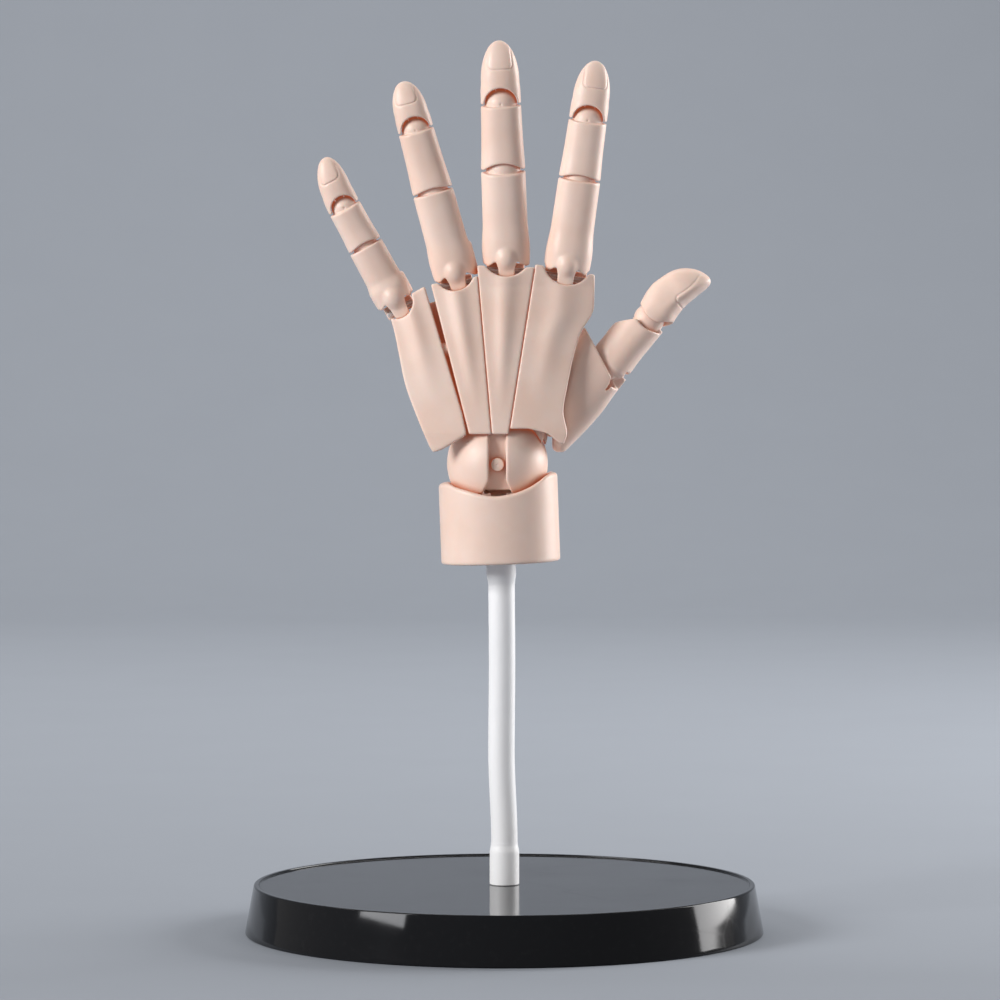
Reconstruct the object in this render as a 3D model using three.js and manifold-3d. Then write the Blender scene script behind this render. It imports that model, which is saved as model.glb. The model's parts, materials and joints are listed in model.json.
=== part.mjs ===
import * as THREE from 'three';
import { mergeVertices } from 'three/addons/utils/BufferGeometryUtils.js';
import Module from 'manifold-3d';

const wasm = await Module();
wasm.setup();

// Posable left hand on a bendable post. Millimetres and degrees, +Z up, back of the hand towards -Y.
const fit = 0.3;
const runGap = 0.4;

// Base
const baseDiameter = 200;
const baseTopDiameter = 193;
const baseHeight = 19;
const baseRimWidth = 1.8;
const baseRimHeight = 0.9;
const baseWall = 2.6;
const basePlateThickness = 2.5;
const baseBossDiameter = 18;
const baseBossDepth = 9;

// Post
const postLength = 125;
const ferruleDiameter = 11.4;
const bottomFerruleHeight = 15.8;
const topFerruleHeight = 7.7;
const spigotDiameter = 8;
const bottomSpigotLength = 8;
const swivelWall = 2.3;
const tubeDiameter = 10.2;
const wireDiameter = 4;
const wireSeat = 6;
const postSway = 1.15;

// Wrist
const wristX = -2.7;
const cuffLength = 38.1;
const cuffLean = -2;
const cuffHalfWidth = 22.9;
const cuffHalfDepth = 22.1;
const cuffPeakDrop = 4.8;
const cuffScoopX = -1.5;
const cuffScoopRise = 7.5;
const cuffScoopDrop = 12.3;
const ballRadius = 19.4;
const wristFlex = 40;
const wristTilt = 10;
const stemWidth = 5.6;
const stemDepth = 5.2;
const stemFootSize = 10;
const stemFootHeight = 5;
const stemFootDrop = 0.5;
const forkWidth = 11.2;
const forkEar = 2.2;
const forkDepth = 9;
const forkBridge = 2.5;
const crossDepth = 9.2;
const wristPinDiameter = 2.4;
const trunnionDiameter = 4;
const trunnionSpan = 26;
const capDiameter = 5;
const capHeight = 1.4;
const capShank = 1.8;
const capDepth = 2.6;
const ballSlotWidth = 6.6;
const ballSlotTop = 12;

// Palm, measured from the centre of the wrist ball
const seamGap = 0.6;
const seamRootZ = 12;
const seamHeadZ = 68;
const ringLeftRoot = -11;
const ringLeftHead = -25.4;
const middleLeftRoot = -2.2;
const middleLeftHead = -7.1;
const indexLeftRoot = 4.4;
const indexLeftHead = 13.2;
const littleSplayGap = 2.4;
const littleSplay = 5;
const palmFrontRoot = -17.2;
const palmFrontMid = -13.6;
const palmFrontHead = -10.4;
const palmBackRoot = 16.8;
const palmBackMid = 14.6;
const palmBackHead = 11.4;
const ridgeHeight = 1.5;
const archDrop = 4.2;
const archX = -3;
const archSpan = 36;
const palmBottomZ = 11.6;
const indexHeelX = 24.6;
const indexHeelZ = 7.6;
const indexBendX = 18.8;
const indexBendZ = 11.8;
const indexFlatX = 12;
const indexFlatZ = 13.6;
const littleBottomZ = 4.6;
const littleHeel = 15.6;
const littleToeX = -22;
const littleToeZ = 5;
const littleToeRise = 31;
const coreHalfDepth = 6.5;
const coreLeft = -12;
const coreRight = 16;
const coreBottomZ = 20;
const coreTopZ = 34;
const corePegDiameter = 8;
const corePegLength = 8;
const littlePivotX = -19.5;
const littlePivotZ = 19.5;
const littleEyeRadius = 4;
const littlePegDiameter = 3.6;
const littleArmDepth = 6;
const guideZ = 44;
const guideDiameter = 5;
const guideReach = 5;

// Knuckles
const knuckleEye = 3.6;
const knuckleWidth = 4.8;
const knuckleFront = 4.4;
const knuckleBack = 3;
const knuckleRise = 7;
const spreadPegDiameter = 3.2;
const spreadSwing = 11;
const knucklePinDiameter = 2.4;
const mouthCavity = 4.5;
const mouthCheek = 2;
const mouthFall = 46;
const skirtRise = 2.2;
const skirtSlope = 47;
const bulbHalfWidth = 3.9;
const bulbHalfDepth = 3.4;
const bulbHalfHeight = 4.4;
const bulbProud = 1.6;
const bulbZ = 6.2;
const windowFoot = 2.6;
const windowX = 3.4;
const windowZ = 6;
const windowEnd = 3;
const windowBack = 0.6;
const wingInset = 2.4;
const wingFront = 1.6;
const wingBack = 3.4;
const wingDrop = 2.3;
const wingRise = 1.6;

// Finger joints
const cheek = 1.9;
const socketGap = 0.4;
const rimDrop = 0.5;
const footRise = 0.4;
const tangWidth = 4;
const tangDepth = 4.4;
const tangEye = 2.6;
const jointPinDiameter = 2;
const headFall = 45;
const footSlope = 42;
const middleArchHeight = 2;
const fingerDepthRatio = 0.92;
const nailRise = 0.35;
const tipLength = 13;
const tipTaper = 0.62;

// Rest bends of each finger: knuckle, middle joint, end joint
const restCurl = -6;
const restMiddle = 0;
const restEnd = 0;

const fingers = {
  index: { x: 25.9, z: 71.4, pinLean: 10, lean: 8, proximal: 38.3, middle: 22.6, distal: 23.5,
    base: 9, middleJoint: 8.05, endJoint: 7.3, tip: 7, column: 10.6, horn: 3, scoop: 2.9 },
  middle: { x: 3.1, z: 74, pinLean: 2, lean: -2, proximal: 38.8, middle: 25, distal: 25.5,
    base: 9.2, middleJoint: 8.5, endJoint: 7.7, tip: 7.35, column: 9.6, horn: 1.6, scoop: 2.3 },
  ring: { x: -15.7, z: 68.8, pinLean: -10, lean: -15.3, proximal: 36.9, middle: 24.2, distal: 20.2,
    base: 8.7, middleJoint: 7.85, endJoint: 6.85, tip: 6.5, column: 8.7, horn: 0.8, scoop: 2.5 },
  little: { x: -37.4, z: 59.5, pinLean: -30, lean: -28.6, proximal: 27.6, middle: 16.6, distal: 21,
    base: 7.7, middleJoint: 6.8, endJoint: 6.35, tip: 6, column: 8.4, horn: 2.6, scoop: 3.6 },
};

// Thumb, measured from the centre of the wrist ball
const saddleX = 22.5;
const saddleY = 5;
const saddleZ = 16;
const saddleRadius = 6.5;
const saddleTongue = 5;
const saddleTongueEye = 4.4;
const saddlePinDiameter = 2.4;
const saddlePinHalf = 5.6;
const saddlePegDiameter = 3;
const saddleSwing = 45;
const thumbReliefX = 18.6;
const thumbReliefY = -5.4;
const thumbReliefStep = 4.4;
const thumbReliefTop = 57;
const thumbReliefTurn = 20;
const thumbColumnLean = 45;
const thumbKnuckleX = 43.5;
const thumbKnuckleZ = 37.5;
const thumbLean = 39.6;
const thumbTurn = 78;
const thumbTipLean = 17;
const thumbProximal = 23.2;
const thumbDistal = 28.3;
const thumbBase = 8.6;
const thumbEndJoint = 8;
const thumbTip = 7.4;
const thumbFullness = 1.18;
const thumbHeelDepth = 7.4;
const thumbPadDepth = 10.6;
const thumbPadZ = 10;
const thumbTaperZ = 15.3;
const thumbNailDepth = 3.4;
const thumbTipSlope = 2;
const thumbMouthDepth = 13.2;

// Facets around round shapes
const around = 12;
const pinSides = 8;
const ballSides = 12;

const socketRadius = ballRadius + socketGap;
const stemSeat = socketRadius + stemFootDrop;
const swivelLength = cuffLength - stemSeat - stemFootHeight - swivelWall;
const postBottom = baseHeight - baseRimHeight;
const postTop = postBottom + postLength;
const wristZ = postTop + cuffLength * Math.cos(THREE.MathUtils.degToRad(cuffLean));

const rad = THREE.MathUtils.degToRad;

function solid(geometry, matrix) {
  const bare = geometry.clone();
  bare.deleteAttribute('normal');
  bare.deleteAttribute('uv');
  if (matrix) {
    bare.applyMatrix4(matrix);
  }
  const merged = mergeVertices(bare, 1e-5);
  const index = [];
  const source = merged.index.array;
  for (let i = 0; i < source.length; i += 3) {
    const [a, b, c] = [source[i], source[i + 1], source[i + 2]];
    if (a !== b && b !== c && c !== a) {
      index.push(a, b, c);
    }
  }
  return new wasm.Manifold(new wasm.Mesh({
    numProp: 3,
    vertProperties: Float32Array.from(merged.attributes.position.array),
    triVerts: Uint32Array.from(index),
  }));
}

function box(x0, x1, y0, y1, z0, z1) {
  const shape = new THREE.BoxGeometry(x1 - x0, y1 - y0, z1 - z0);
  shape.translate((x0 + x1) / 2, (y0 + y1) / 2, (z0 + z1) / 2);
  return solid(shape);
}

function barX(radius, x0, x1, y, z, sides = pinSides) {
  const shape = new THREE.CylinderGeometry(radius, radius, x1 - x0, sides);
  shape.rotateZ(Math.PI / 2);
  shape.translate((x0 + x1) / 2, y, z);
  return solid(shape);
}

function barY(radius, x, y0, y1, z, sides = pinSides) {
  const shape = new THREE.CylinderGeometry(radius, radius, y1 - y0, sides);
  shape.translate(x, (y0 + y1) / 2, z);
  return solid(shape);
}

function barZ(radius, x, y, z0, z1, sides = pinSides) {
  const shape = new THREE.CylinderGeometry(radius, radius, z1 - z0, sides);
  shape.rotateX(Math.PI / 2);
  shape.translate(x, y, (z0 + z1) / 2);
  return solid(shape);
}

function ball(radius, x, y, z, sides = ballSides) {
  const shape = new THREE.SphereGeometry(radius, sides, Math.round(sides * 0.6));
  shape.rotateX(Math.PI / 2);
  shape.translate(x, y, z);
  return solid(shape);
}

function skin(rings, loop = false) {
  const count = rings[0].length;
  const points = rings.flat();
  const index = [];
  const spans = loop ? rings.length : rings.length - 1;
  for (let k = 0; k < spans; k += 1) {
    const low = k * count;
    const high = ((k + 1) % rings.length) * count;
    for (let i = 0; i < count; i += 1) {
      const next = (i + 1) % count;
      index.push(low + i, low + next, high + next, low + i, high + next, high + i);
    }
  }
  if (!loop) {
    for (const [k, flip] of [[0, true], [rings.length - 1, false]]) {
      const centre = new THREE.Vector3();
      rings[k].forEach((p) => centre.addScaledVector(p, 1 / count));
      points.push(centre);
      for (let i = 0; i < count; i += 1) {
        const a = k * count + i;
        const b = k * count + ((i + 1) % count);
        index.push(points.length - 1, flip ? b : a, flip ? a : b);
      }
    }
  }
  const shape = new THREE.BufferGeometry().setFromPoints(points);
  shape.setIndex(index);
  return shape;
}

function oval(z, halfX, front, back, power = 2.3, count = around, x = 0) {
  const ring = [];
  for (let i = 0; i < count; i += 1) {
    const angle = (i / count) * Math.PI * 2;
    const c = Math.cos(angle);
    const s = Math.sin(angle);
    const px = x + halfX * Math.sign(c) * Math.abs(c) ** (2 / power);
    const py = (s < 0 ? front : back) * Math.sign(s) * Math.abs(s) ** (2 / power);
    ring.push(new THREE.Vector3(px, py, z));
  }
  return ring;
}

function slab(z, left, right, front, back, ridge, round) {
  const ring = [];
  const middle = (left + right) / 2;
  const half = (right - left) / 2;
  const edge = Math.min(round, half * 0.6);
  const add = (x, y) => ring.push(new THREE.Vector3(x, y, z));
  for (const t of [-0.55, -0.2, 0.2, 0.55]) {
    add(middle + half * t, front - ridge * Math.exp(-6 * t * t));
  }
  for (const [cx, cy, turn] of [[right, front, -90], [right, back, 0], [left, back, 90],
    [left, front, 180]]) {
    const ox = cx === right ? right - edge : left + edge;
    const oy = cy === front ? front + edge : back - edge;
    for (const step of [0, 45, 90]) {
      add(ox + edge * Math.cos(rad(turn + step)), oy + edge * Math.sin(rad(turn + step)));
    }
    if (cx === right && cy === back) {
      add(middle + half * 0.3, back + 0.5);
      add(middle - half * 0.3, back + 0.5);
    }
  }
  for (const point of ring) {
    point.y += point.y < 0 ? archDrop * ((point.x - archX) / archSpan) ** 2 : 0;
  }
  return ring;
}

function lathe(profile, sides) {
  const rings = profile.map(([radius, z]) => oval(z, radius, radius, radius, 2, sides));
  return skin(rings, true);
}

function sector(profile, from, to, steps) {
  const rings = [];
  for (let k = 0; k <= steps; k += 1) {
    const angle = rad(from + ((to - from) * k) / steps);
    rings.push(profile.map(([x, r]) => new THREE.Vector3(x, r * Math.sin(angle), -r * Math.cos(angle))));
  }
  return skin(rings);
}

function wedgeAbove(y, z, fall) {
  const shape = new THREE.BoxGeometry(80, 60, 60);
  shape.translate(0, 30, 30);
  shape.rotateX(-rad(fall));
  shape.translate(0, y, z);
  return solid(shape);
}

function wedgeBelow(y, z, slope) {
  const shape = new THREE.BoxGeometry(80, 60, 60);
  shape.translate(0, 30, -30);
  shape.rotateX(rad(slope));
  shape.translate(0, y, z);
  return solid(shape);
}

function at(x, y, z, leanY = 0, bend = 0, turnZ = 0) {
  const matrix = new THREE.Matrix4().makeRotationY(rad(leanY));
  matrix.multiply(new THREE.Matrix4().makeRotationZ(rad(turnZ)));
  matrix.multiply(new THREE.Matrix4().makeRotationX(-rad(bend)));
  matrix.setPosition(x, y, z);
  return matrix;
}

function moved(body, matrix) {
  return body.transform(matrix.elements);
}

function joined(...bodies) {
  return bodies.reduce((whole, body) => whole.add(body));
}

function without(body, ...cuts) {
  return cuts.reduce((rest, cut) => rest.subtract(cut), body);
}

const hand = new THREE.Group();
const finishes = {
  skin: { color: 0xeac4b3, roughness: 0.5, metalness: 0 },
  steel: { color: 0xc9c9cb, roughness: 0.35, metalness: 0.9 },
  white: { color: 0xe8e9ec, roughness: 0.55, metalness: 0 },
  black: { color: 0x121214, roughness: 0.12, metalness: 0 },
};

function piece(group, name, body, finish) {
  const mesh = body.getMesh();
  const shape = new THREE.BufferGeometry();
  const points = [];
  for (let i = 0; i < mesh.numVert; i += 1) {
    points.push(...mesh.vertProperties.slice(i * mesh.numProp, i * mesh.numProp + 3));
  }
  shape.setAttribute('position', new THREE.Float32BufferAttribute(points, 3));
  shape.setIndex(Array.from(mesh.triVerts));
  shape.computeVertexNormals();
  const node = new THREE.Mesh(shape, new THREE.MeshStandardMaterial(finishes[finish]));
  node.name = name;
  group.add(node);
  return node;
}

function frame(parent, name, matrix) {
  const group = new THREE.Group();
  group.name = name;
  group.applyMatrix4(matrix);
  parent.add(group);
  return group;
}

// Base: shell with a rim, closed by a plate
{
  const top = baseTopDiameter / 2;
  const bottom = baseDiameter / 2;
  const inner = top - baseRimWidth;
  const roof = postBottom - baseWall;
  const shell = solid(lathe([
    [bottom, 0],
    [bottom - 0.3, 1.2],
    [top + 0.4, baseHeight - 0.8],
    [top - 0.5, baseHeight],
    [inner, baseHeight],
    [inner - 0.5, postBottom],
    [spigotDiameter / 2 + fit, postBottom],
    [spigotDiameter / 2 + fit, postBottom - baseBossDepth],
    [baseBossDiameter / 2, postBottom - baseBossDepth],
    [baseBossDiameter / 2, roof],
    [top - baseWall, roof],
    [bottom - baseWall, 0],
  ], 48));
  piece(hand, 'base_shell', shell, 'black');
  const plate = solid(skin([
    oval(0, bottom - baseWall - 0.6, bottom - baseWall - 0.6, bottom - baseWall - 0.6, 2, 48),
    oval(basePlateThickness, bottom - baseWall - 1.2, bottom - baseWall - 1.2,
      bottom - baseWall - 1.2, 2, 48),
  ]));
  piece(hand, 'base_plate', plate, 'black');
}

// Post: two ferrules, tube and core wire
const post = frame(hand, 'post_axis', new THREE.Matrix4());
const cuffFoot = new THREE.Vector3(
  wristX - cuffLength * Math.sin(rad(cuffLean)), 0, postTop);
const ferruleTop = postBottom + bottomFerruleHeight;
const tubeEnd = new THREE.Vector3(
  cuffFoot.x - topFerruleHeight * Math.sin(rad(cuffLean)), 0, postTop - topFerruleHeight);
{
  const lower = without(
    joined(
      barZ(ferruleDiameter / 2, 0, 0, postBottom + fit, ferruleTop, around),
      barZ(spigotDiameter / 2, 0, 0, postBottom - bottomSpigotLength, postBottom + 2, around),
    ),
    barZ(wireDiameter / 2 + fit, 0, 0, ferruleTop - wireSeat - fit, ferruleTop + 1),
  );
  piece(post, 'post_bottom_ferrule', lower, 'white');
  const path = new THREE.CatmullRomCurve3([
    new THREE.Vector3(0, 0, ferruleTop),
    new THREE.Vector3(-postSway, 0, ferruleTop + (tubeEnd.z - ferruleTop) * 0.36),
    new THREE.Vector3(-postSway * 0.8, 0, ferruleTop + (tubeEnd.z - ferruleTop) * 0.7),
    tubeEnd,
  ]);
  const span = tubeEnd.z - ferruleTop;
  const hoop = (radius, share) => {
    const centre = path.getPoint(share);
    return oval(0, radius, radius, radius, 2, around).map((p) => p.add(centre));
  };
  const share = [fit / span, 0.2, 0.4, 0.6, 0.8, 1 - fit / span];
  const tube = solid(skin([
    ...share.map((t) => hoop(tubeDiameter / 2, t)),
    ...share.slice().reverse().map((t) => hoop(wireDiameter / 2 + fit, t)),
  ], true));
  piece(post, 'post_tube', tube, 'white');
  const wireRing = (p) => oval(0, wireDiameter / 2, wireDiameter / 2, wireDiameter / 2, 2, pinSides)
    .map((q) => q.add(p));
  const wire = solid(skin([
    wireRing(new THREE.Vector3(0, 0, ferruleTop - wireSeat)),
    ...[0, 0.2, 0.4, 0.6, 0.8, 1].map((t) => wireRing(path.getPoint(t))),
    wireRing(new THREE.Vector3(tubeEnd.x, 0, tubeEnd.z + 4)),
  ]));
  piece(post, 'post_wire', wire, 'steel');
}

// Wrist: cuff with its swivel and stem, in the leaning frame of the cuff
const cuff = frame(hand, 'cuff_axis', at(wristX, 0, wristZ, cuffLean));
{
  const foot = -cuffLength;
  const upper = without(
    joined(
      barZ(ferruleDiameter / 2, 0, 0, foot - topFerruleHeight, foot - fit, around),
      barZ(spigotDiameter / 2, 0, 0, foot - 2, foot + swivelLength, around),
    ),
    barZ(wireDiameter / 2 + runGap, 0, 0, foot - topFerruleHeight - 1, foot - topFerruleHeight + 5),
  );
  piece(cuff, 'post_top_ferrule', upper, 'white');

  const halfChord = cuffHalfWidth - 1.5;
  const sag = cuffScoopRise;
  const scoop = (halfChord ** 2 + sag ** 2) / (2 * sag);
  const pocket = stemFootSize / 2 + fit;
  const footTop = -stemSeat;
  const shellBody = without(
    solid(skin([
      oval(foot, cuffHalfWidth - 0.8, cuffHalfDepth - 0.8, cuffHalfDepth - 0.8, 2.15, 28),
      oval(foot + 1, cuffHalfWidth - 0.2, cuffHalfDepth - 0.2, cuffHalfDepth - 0.2, 2.15, 28),
      oval(foot * 0.5, cuffHalfWidth, cuffHalfDepth, cuffHalfDepth, 2.15, 28),
      oval(0, cuffHalfWidth, cuffHalfDepth, cuffHalfDepth, 2.15, 28),
    ])),
    ball(socketRadius, 0, 0, 0, 20),
    box(-60, 60, -60, 60, -cuffPeakDrop, 30),
    barY(scoop, cuffScoopX, -60, 60, scoop - cuffScoopDrop, 48),
    barZ(spigotDiameter / 2 + fit, 0, 0, foot - 1, foot + swivelLength + fit, around),
    box(-pocket, pocket, -pocket, pocket, footTop - stemFootHeight - fit, 0),
  );
  piece(cuff, 'wrist_cuff', shellBody, 'skin');

  const half = stemFootSize / 2;
  const eye = stemDepth / 2;
  const inner = forkWidth / 2 - forkEar;
  const stem = without(
    joined(
      box(-half, half, -half, half, footTop - stemFootHeight, footTop),
      box(-stemWidth / 2, stemWidth / 2, -eye, eye, footTop - 1, -forkDepth),
      box(-forkWidth / 2, forkWidth / 2, -eye, eye, -forkDepth - forkBridge, 0),
      barX(eye, -forkWidth / 2, forkWidth / 2, 0, 0, around),
    ),
    box(-inner, inner, -20, 20, -forkDepth, 20),
    barX(wristPinDiameter / 2 + fit, -20, 20, 0, 0),
  );
  piece(cuff, 'wrist_stem', stem, 'skin');
}

// Wrist: cross block with its pin and caps
{
  const inner = forkWidth / 2 - forkEar - fit;
  const reach = trunnionSpan / 2;
  const block = without(
    joined(
      box(-inner, inner, -crossDepth / 2, crossDepth / 2, -3.1, 3.1),
      barY(trunnionDiameter / 2, 0, -reach, reach, 0, around),
    ),
    barX(wristPinDiameter / 2 + fit, -20, 20, 0, 0),
    barY(capShank / 2 + fit, 0, -reach - 1, -reach + capDepth + fit, 0),
    barY(capShank / 2 + fit, 0, reach - capDepth - fit, reach + 1, 0),
  );
  piece(cuff, 'wrist_cross', block, 'skin');
  const pin = barX(wristPinDiameter / 2, -forkWidth / 2, forkWidth / 2, 0, 0);
  piece(cuff, 'wrist_flex_pin', pin, 'steel');
  const seat = reach + fit;
  const front = joined(
    barY(capDiameter / 2, 0, -seat - capHeight, -seat, 0, around),
    barY(capShank / 2, 0, -seat - 0.5, -reach + capDepth, 0),
  );
  piece(cuff, 'wrist_cap_front', front, 'skin');
  const back = joined(
    barY(capDiameter / 2, 0, seat, seat + capHeight, 0, around),
    barY(capShank / 2, 0, reach - capDepth, seat + 0.5, 0),
  );
  piece(cuff, 'wrist_cap_back', back, 'skin');
}

// Wrist ball, hollowed for the swing of the fork and slotted for the stem
const palm = frame(hand, 'palm_axis', at(wristX, 0, wristZ));
{
  const spread = Math.tan(rad(wristTilt + 1));
  const forkHalf = forkWidth / 2 + 0.9;
  const stemHalf = stemWidth / 2 + 0.7;
  const forkFar = Math.hypot(forkDepth + forkBridge, stemDepth / 2) + 0.5;
  const far = ballRadius + 2;
  const forkTurn = wristFlex + 37;
  const stemTurn = wristFlex + 21;
  const slot = ballSlotWidth / 2;
  const hub = trunnionSpan / 2 + 0.1;
  const body = without(
    ball(ballRadius, 0, 0, 0, 24),
    solid(sector([[-forkHalf, 0.01], [forkHalf, 0.01], [forkHalf + forkFar * spread, forkFar],
      [-forkHalf - forkFar * spread, forkFar]], -forkTurn, forkTurn, 8)),
    solid(sector([[-stemHalf - 9 * spread, 9], [stemHalf + 9 * spread, 9],
      [stemHalf + far * spread, far], [-stemHalf - far * spread, far]], -stemTurn, stemTurn, 8)),
    box(-forkHalf - 0.8, forkHalf + 0.8, -crossDepth / 2 - 1, crossDepth / 2 + 1, -6, 4),
    barY(trunnionDiameter / 2 + fit, 0, -hub - 1, hub + 1, 0, around),
    box(-slot, slot, -30, -hub, -9, ballSlotTop),
    box(-slot, slot, hub, 30, -9, ballSlotTop),
    barZ(corePegDiameter / 2 + fit, 0, 0, coreBottomZ - corePegLength - fit, 30, around),
  );
  piece(palm, 'wrist_ball', body, 'skin');
}

// Palm core: block, peg into the ball, arm for the little finger, tongue for the thumb
const armHalf = littleArmDepth / 2;
function coreBody(extra) {
  const e = extra;
  const tongueLow = saddleZ - saddleTongue / 2 - e;
  const tongueHigh = saddleZ + saddleTongue / 2 + e;
  const eye = saddleTongueEye + e;
  const parts = joined(
    box(coreLeft - e, coreRight + e, -coreHalfDepth - e, coreHalfDepth + e, coreBottomZ - e, coreTopZ + e),
    box(littlePivotX, coreLeft + 1, -armHalf - e, armHalf + e, littlePivotZ - 3.2 - e,
      littlePivotZ + 3.2 + e),
    barY(littleEyeRadius + e, littlePivotX, -armHalf - e, armHalf + e, littlePivotZ, around),
    box(coreRight - 4 - e, saddleX, saddleY - 2.5 - e, saddleY + 2.5 + e, tongueLow, tongueHigh),
    box(coreRight - 4 - e, coreRight + e, saddleY - 2.5 - e, saddleY + 2.5 - 1 + e, tongueLow,
      coreBottomZ + 1),
    barZ(eye, saddleX, saddleY, tongueLow, tongueHigh, around),
  );
  return parts;
}
{
  const core = without(
    joined(
      without(coreBody(0), ball(ballRadius + fit, 0, 0, 0, 24)),
      barZ(corePegDiameter / 2, 0, 0, coreBottomZ - corePegLength, coreBottomZ + 2, around),
    ),
    barY(littlePegDiameter / 2 + fit, littlePivotX, -20, 20, littlePivotZ),
    barZ(saddlePinDiameter / 2 + fit, saddleX, saddleY, -5, coreBottomZ),
  );
  piece(palm, 'palm_core', core, 'skin');
}

// Metacarpals: columns between seams, each with a mouth for its knuckle
function seam(root, head, z) {
  return root + ((head - root) * (z - seamRootZ)) / (seamHeadZ - seamRootZ);
}

function palmDepth(z) {
  const mid = (seamRootZ + seamHeadZ) / 2;
  const low = Math.min(Math.max((z - seamRootZ) / (mid - seamRootZ), 0), 1);
  const high = Math.min(Math.max((z - mid) / (seamHeadZ - mid), 0), 1.3);
  return [
    palmFrontRoot + (palmFrontMid - palmFrontRoot) * low + (palmFrontHead - palmFrontMid) * high,
    palmBackRoot + (palmBackMid - palmBackRoot) * low + (palmBackHead - palmBackMid) * high,
  ];
}

function column(levels, left, right, roundLeft, roundRight) {
  return solid(skin(levels.map((z) => {
    const [front, back] = palmDepth(z);
    const rise = Math.min(Math.max((z - 20) / 45, 0), 1);
    const round = Math.min(roundLeft, roundRight);
    return slab(z, left(z), right(z), front, back, ridgeHeight * rise, round);
  })));
}

const gapHalf = seamGap / 2;

function mouth(spec) {
  const half = spec.column;
  const chord = half - 0.8;
  const sag = spec.horn + spec.scoop;
  const scoop = (chord ** 2 + sag ** 2) / (2 * sag);
  const slot = knuckleWidth / 2 + 0.5;
  const cuts = joined(
    box(-half - 8, half + 8, -40, 40, spec.horn, 50),
    barY(scoop, 0, -40, 40, scoop - spec.scoop, 28),
    wedgeAbove(1, -2.4, mouthFall),
    box(-half - 8, half + 8, 1.6, 40, -2.4, 50),
    barX(mouthCavity, -half + mouthCheek, half - mouthCheek, 0, 0, around),
    box(-slot, slot, -6, 40, -knuckleEye - 0.9, 20),
    barX(knucklePinDiameter / 2 + fit, -half + 0.7, half - 0.7, 0, 0),
  );
  return moved(cuts, at(spec.x, 0, spec.z, spec.pinLean));
}

function knucklePin(group, name, spec) {
  const half = spec.column - 1;
  const pin = barX(knucklePinDiameter / 2, -half, half, 0, 0);
  piece(group, name, moved(pin, at(spec.x, 0, spec.z, spec.pinLean)), 'steel');
}

const ballCut = ball(ballRadius + fit, 0, 0, 0, 24);
const coreCut = joined(
  coreBody(fit),
  barZ(corePegDiameter / 2 + fit, 0, 0, coreBottomZ - corePegLength, coreBottomZ + 2, around),
);
const topZ = 84;

// What lies below the lower edge of the index plate
function belowIndex() {
  const outline = [
    [-20, 0], [indexHeelX + 8, 0], [indexHeelX + 8, indexHeelZ], [indexHeelX, indexHeelZ],
    [indexBendX, indexBendZ], [indexFlatX, indexFlatZ], [-20, indexFlatZ],
  ];
  const ring = (y) => outline.map(([x, z]) => new THREE.Vector3(x, y, z));
  return solid(skin([ring(40), ring(-40)]));
}

const ringLeft = (z) => seam(ringLeftRoot, ringLeftHead, z) + gapHalf;
{
  const guide = seam(ringLeftRoot, ringLeftHead, guideZ);
  const ring = joined(
    without(
      column([palmBottomZ, 22, 44, 62, topZ], ringLeft,
        (z) => seam(middleLeftRoot, middleLeftHead, z) - gapHalf, 1.2, 1.2),
      mouth(fingers.ring), ballCut, coreCut,
    ),
    barX(guideDiameter / 2, guide - guideReach, guide + 4, 0, guideZ),
  );
  piece(palm, 'ring_metacarpal', ring, 'skin');
  knucklePin(palm, 'ring_knuckle_pin', fingers.ring);
  const middle = without(
    column([palmBottomZ, 22, 44, 62, topZ], (z) => seam(middleLeftRoot, middleLeftHead, z) + gapHalf,
      (z) => seam(indexLeftRoot, indexLeftHead, z) - gapHalf, 1.2, 1.2),
    mouth(fingers.middle), ballCut, coreCut,
  );
  piece(palm, 'middle_metacarpal', middle, 'skin');
  knucklePin(palm, 'middle_knuckle_pin', fingers.middle);
  const edge = new THREE.CatmullRomCurve3([
    [8.2, 25.6], [12, 26.6], [20, 25.2], [29, 26.6], [49, 31.4], [60, 37], [topZ, 37.6],
  ].map(([z, x]) => new THREE.Vector3(x, 0, z)));
  const edgeAt = (z) => {
    const found = edge.getPoints(60).reduce((best, p) => (
      Math.abs(p.z - z) < Math.abs(best.z - z) ? p : best));
    return found.x;
  };
  const index = without(
    column([indexHeelZ, 12, 20, 29, 40, 50, 60, topZ],
      (z) => seam(indexLeftRoot, indexLeftHead, z) + gapHalf, edgeAt, 1.2, 1.2),
    mouth(fingers.index), ballCut, coreCut, belowIndex(),
    ball(saddleRadius + 0.8, saddleX, saddleY, saddleZ),
    moved(box(0, 60, 0, 60, 0, thumbReliefTop), at(thumbReliefX, thumbReliefY, 0)),
    moved(box(0, 60, 0, 60, 0, thumbReliefTop),
      at(thumbReliefX, thumbReliefY + thumbReliefStep, 0, 0, 0, thumbReliefTurn)),
  );
  piece(palm, 'index_metacarpal', index, 'skin');
  knucklePin(palm, 'index_knuckle_pin', fingers.index);
}

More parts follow.
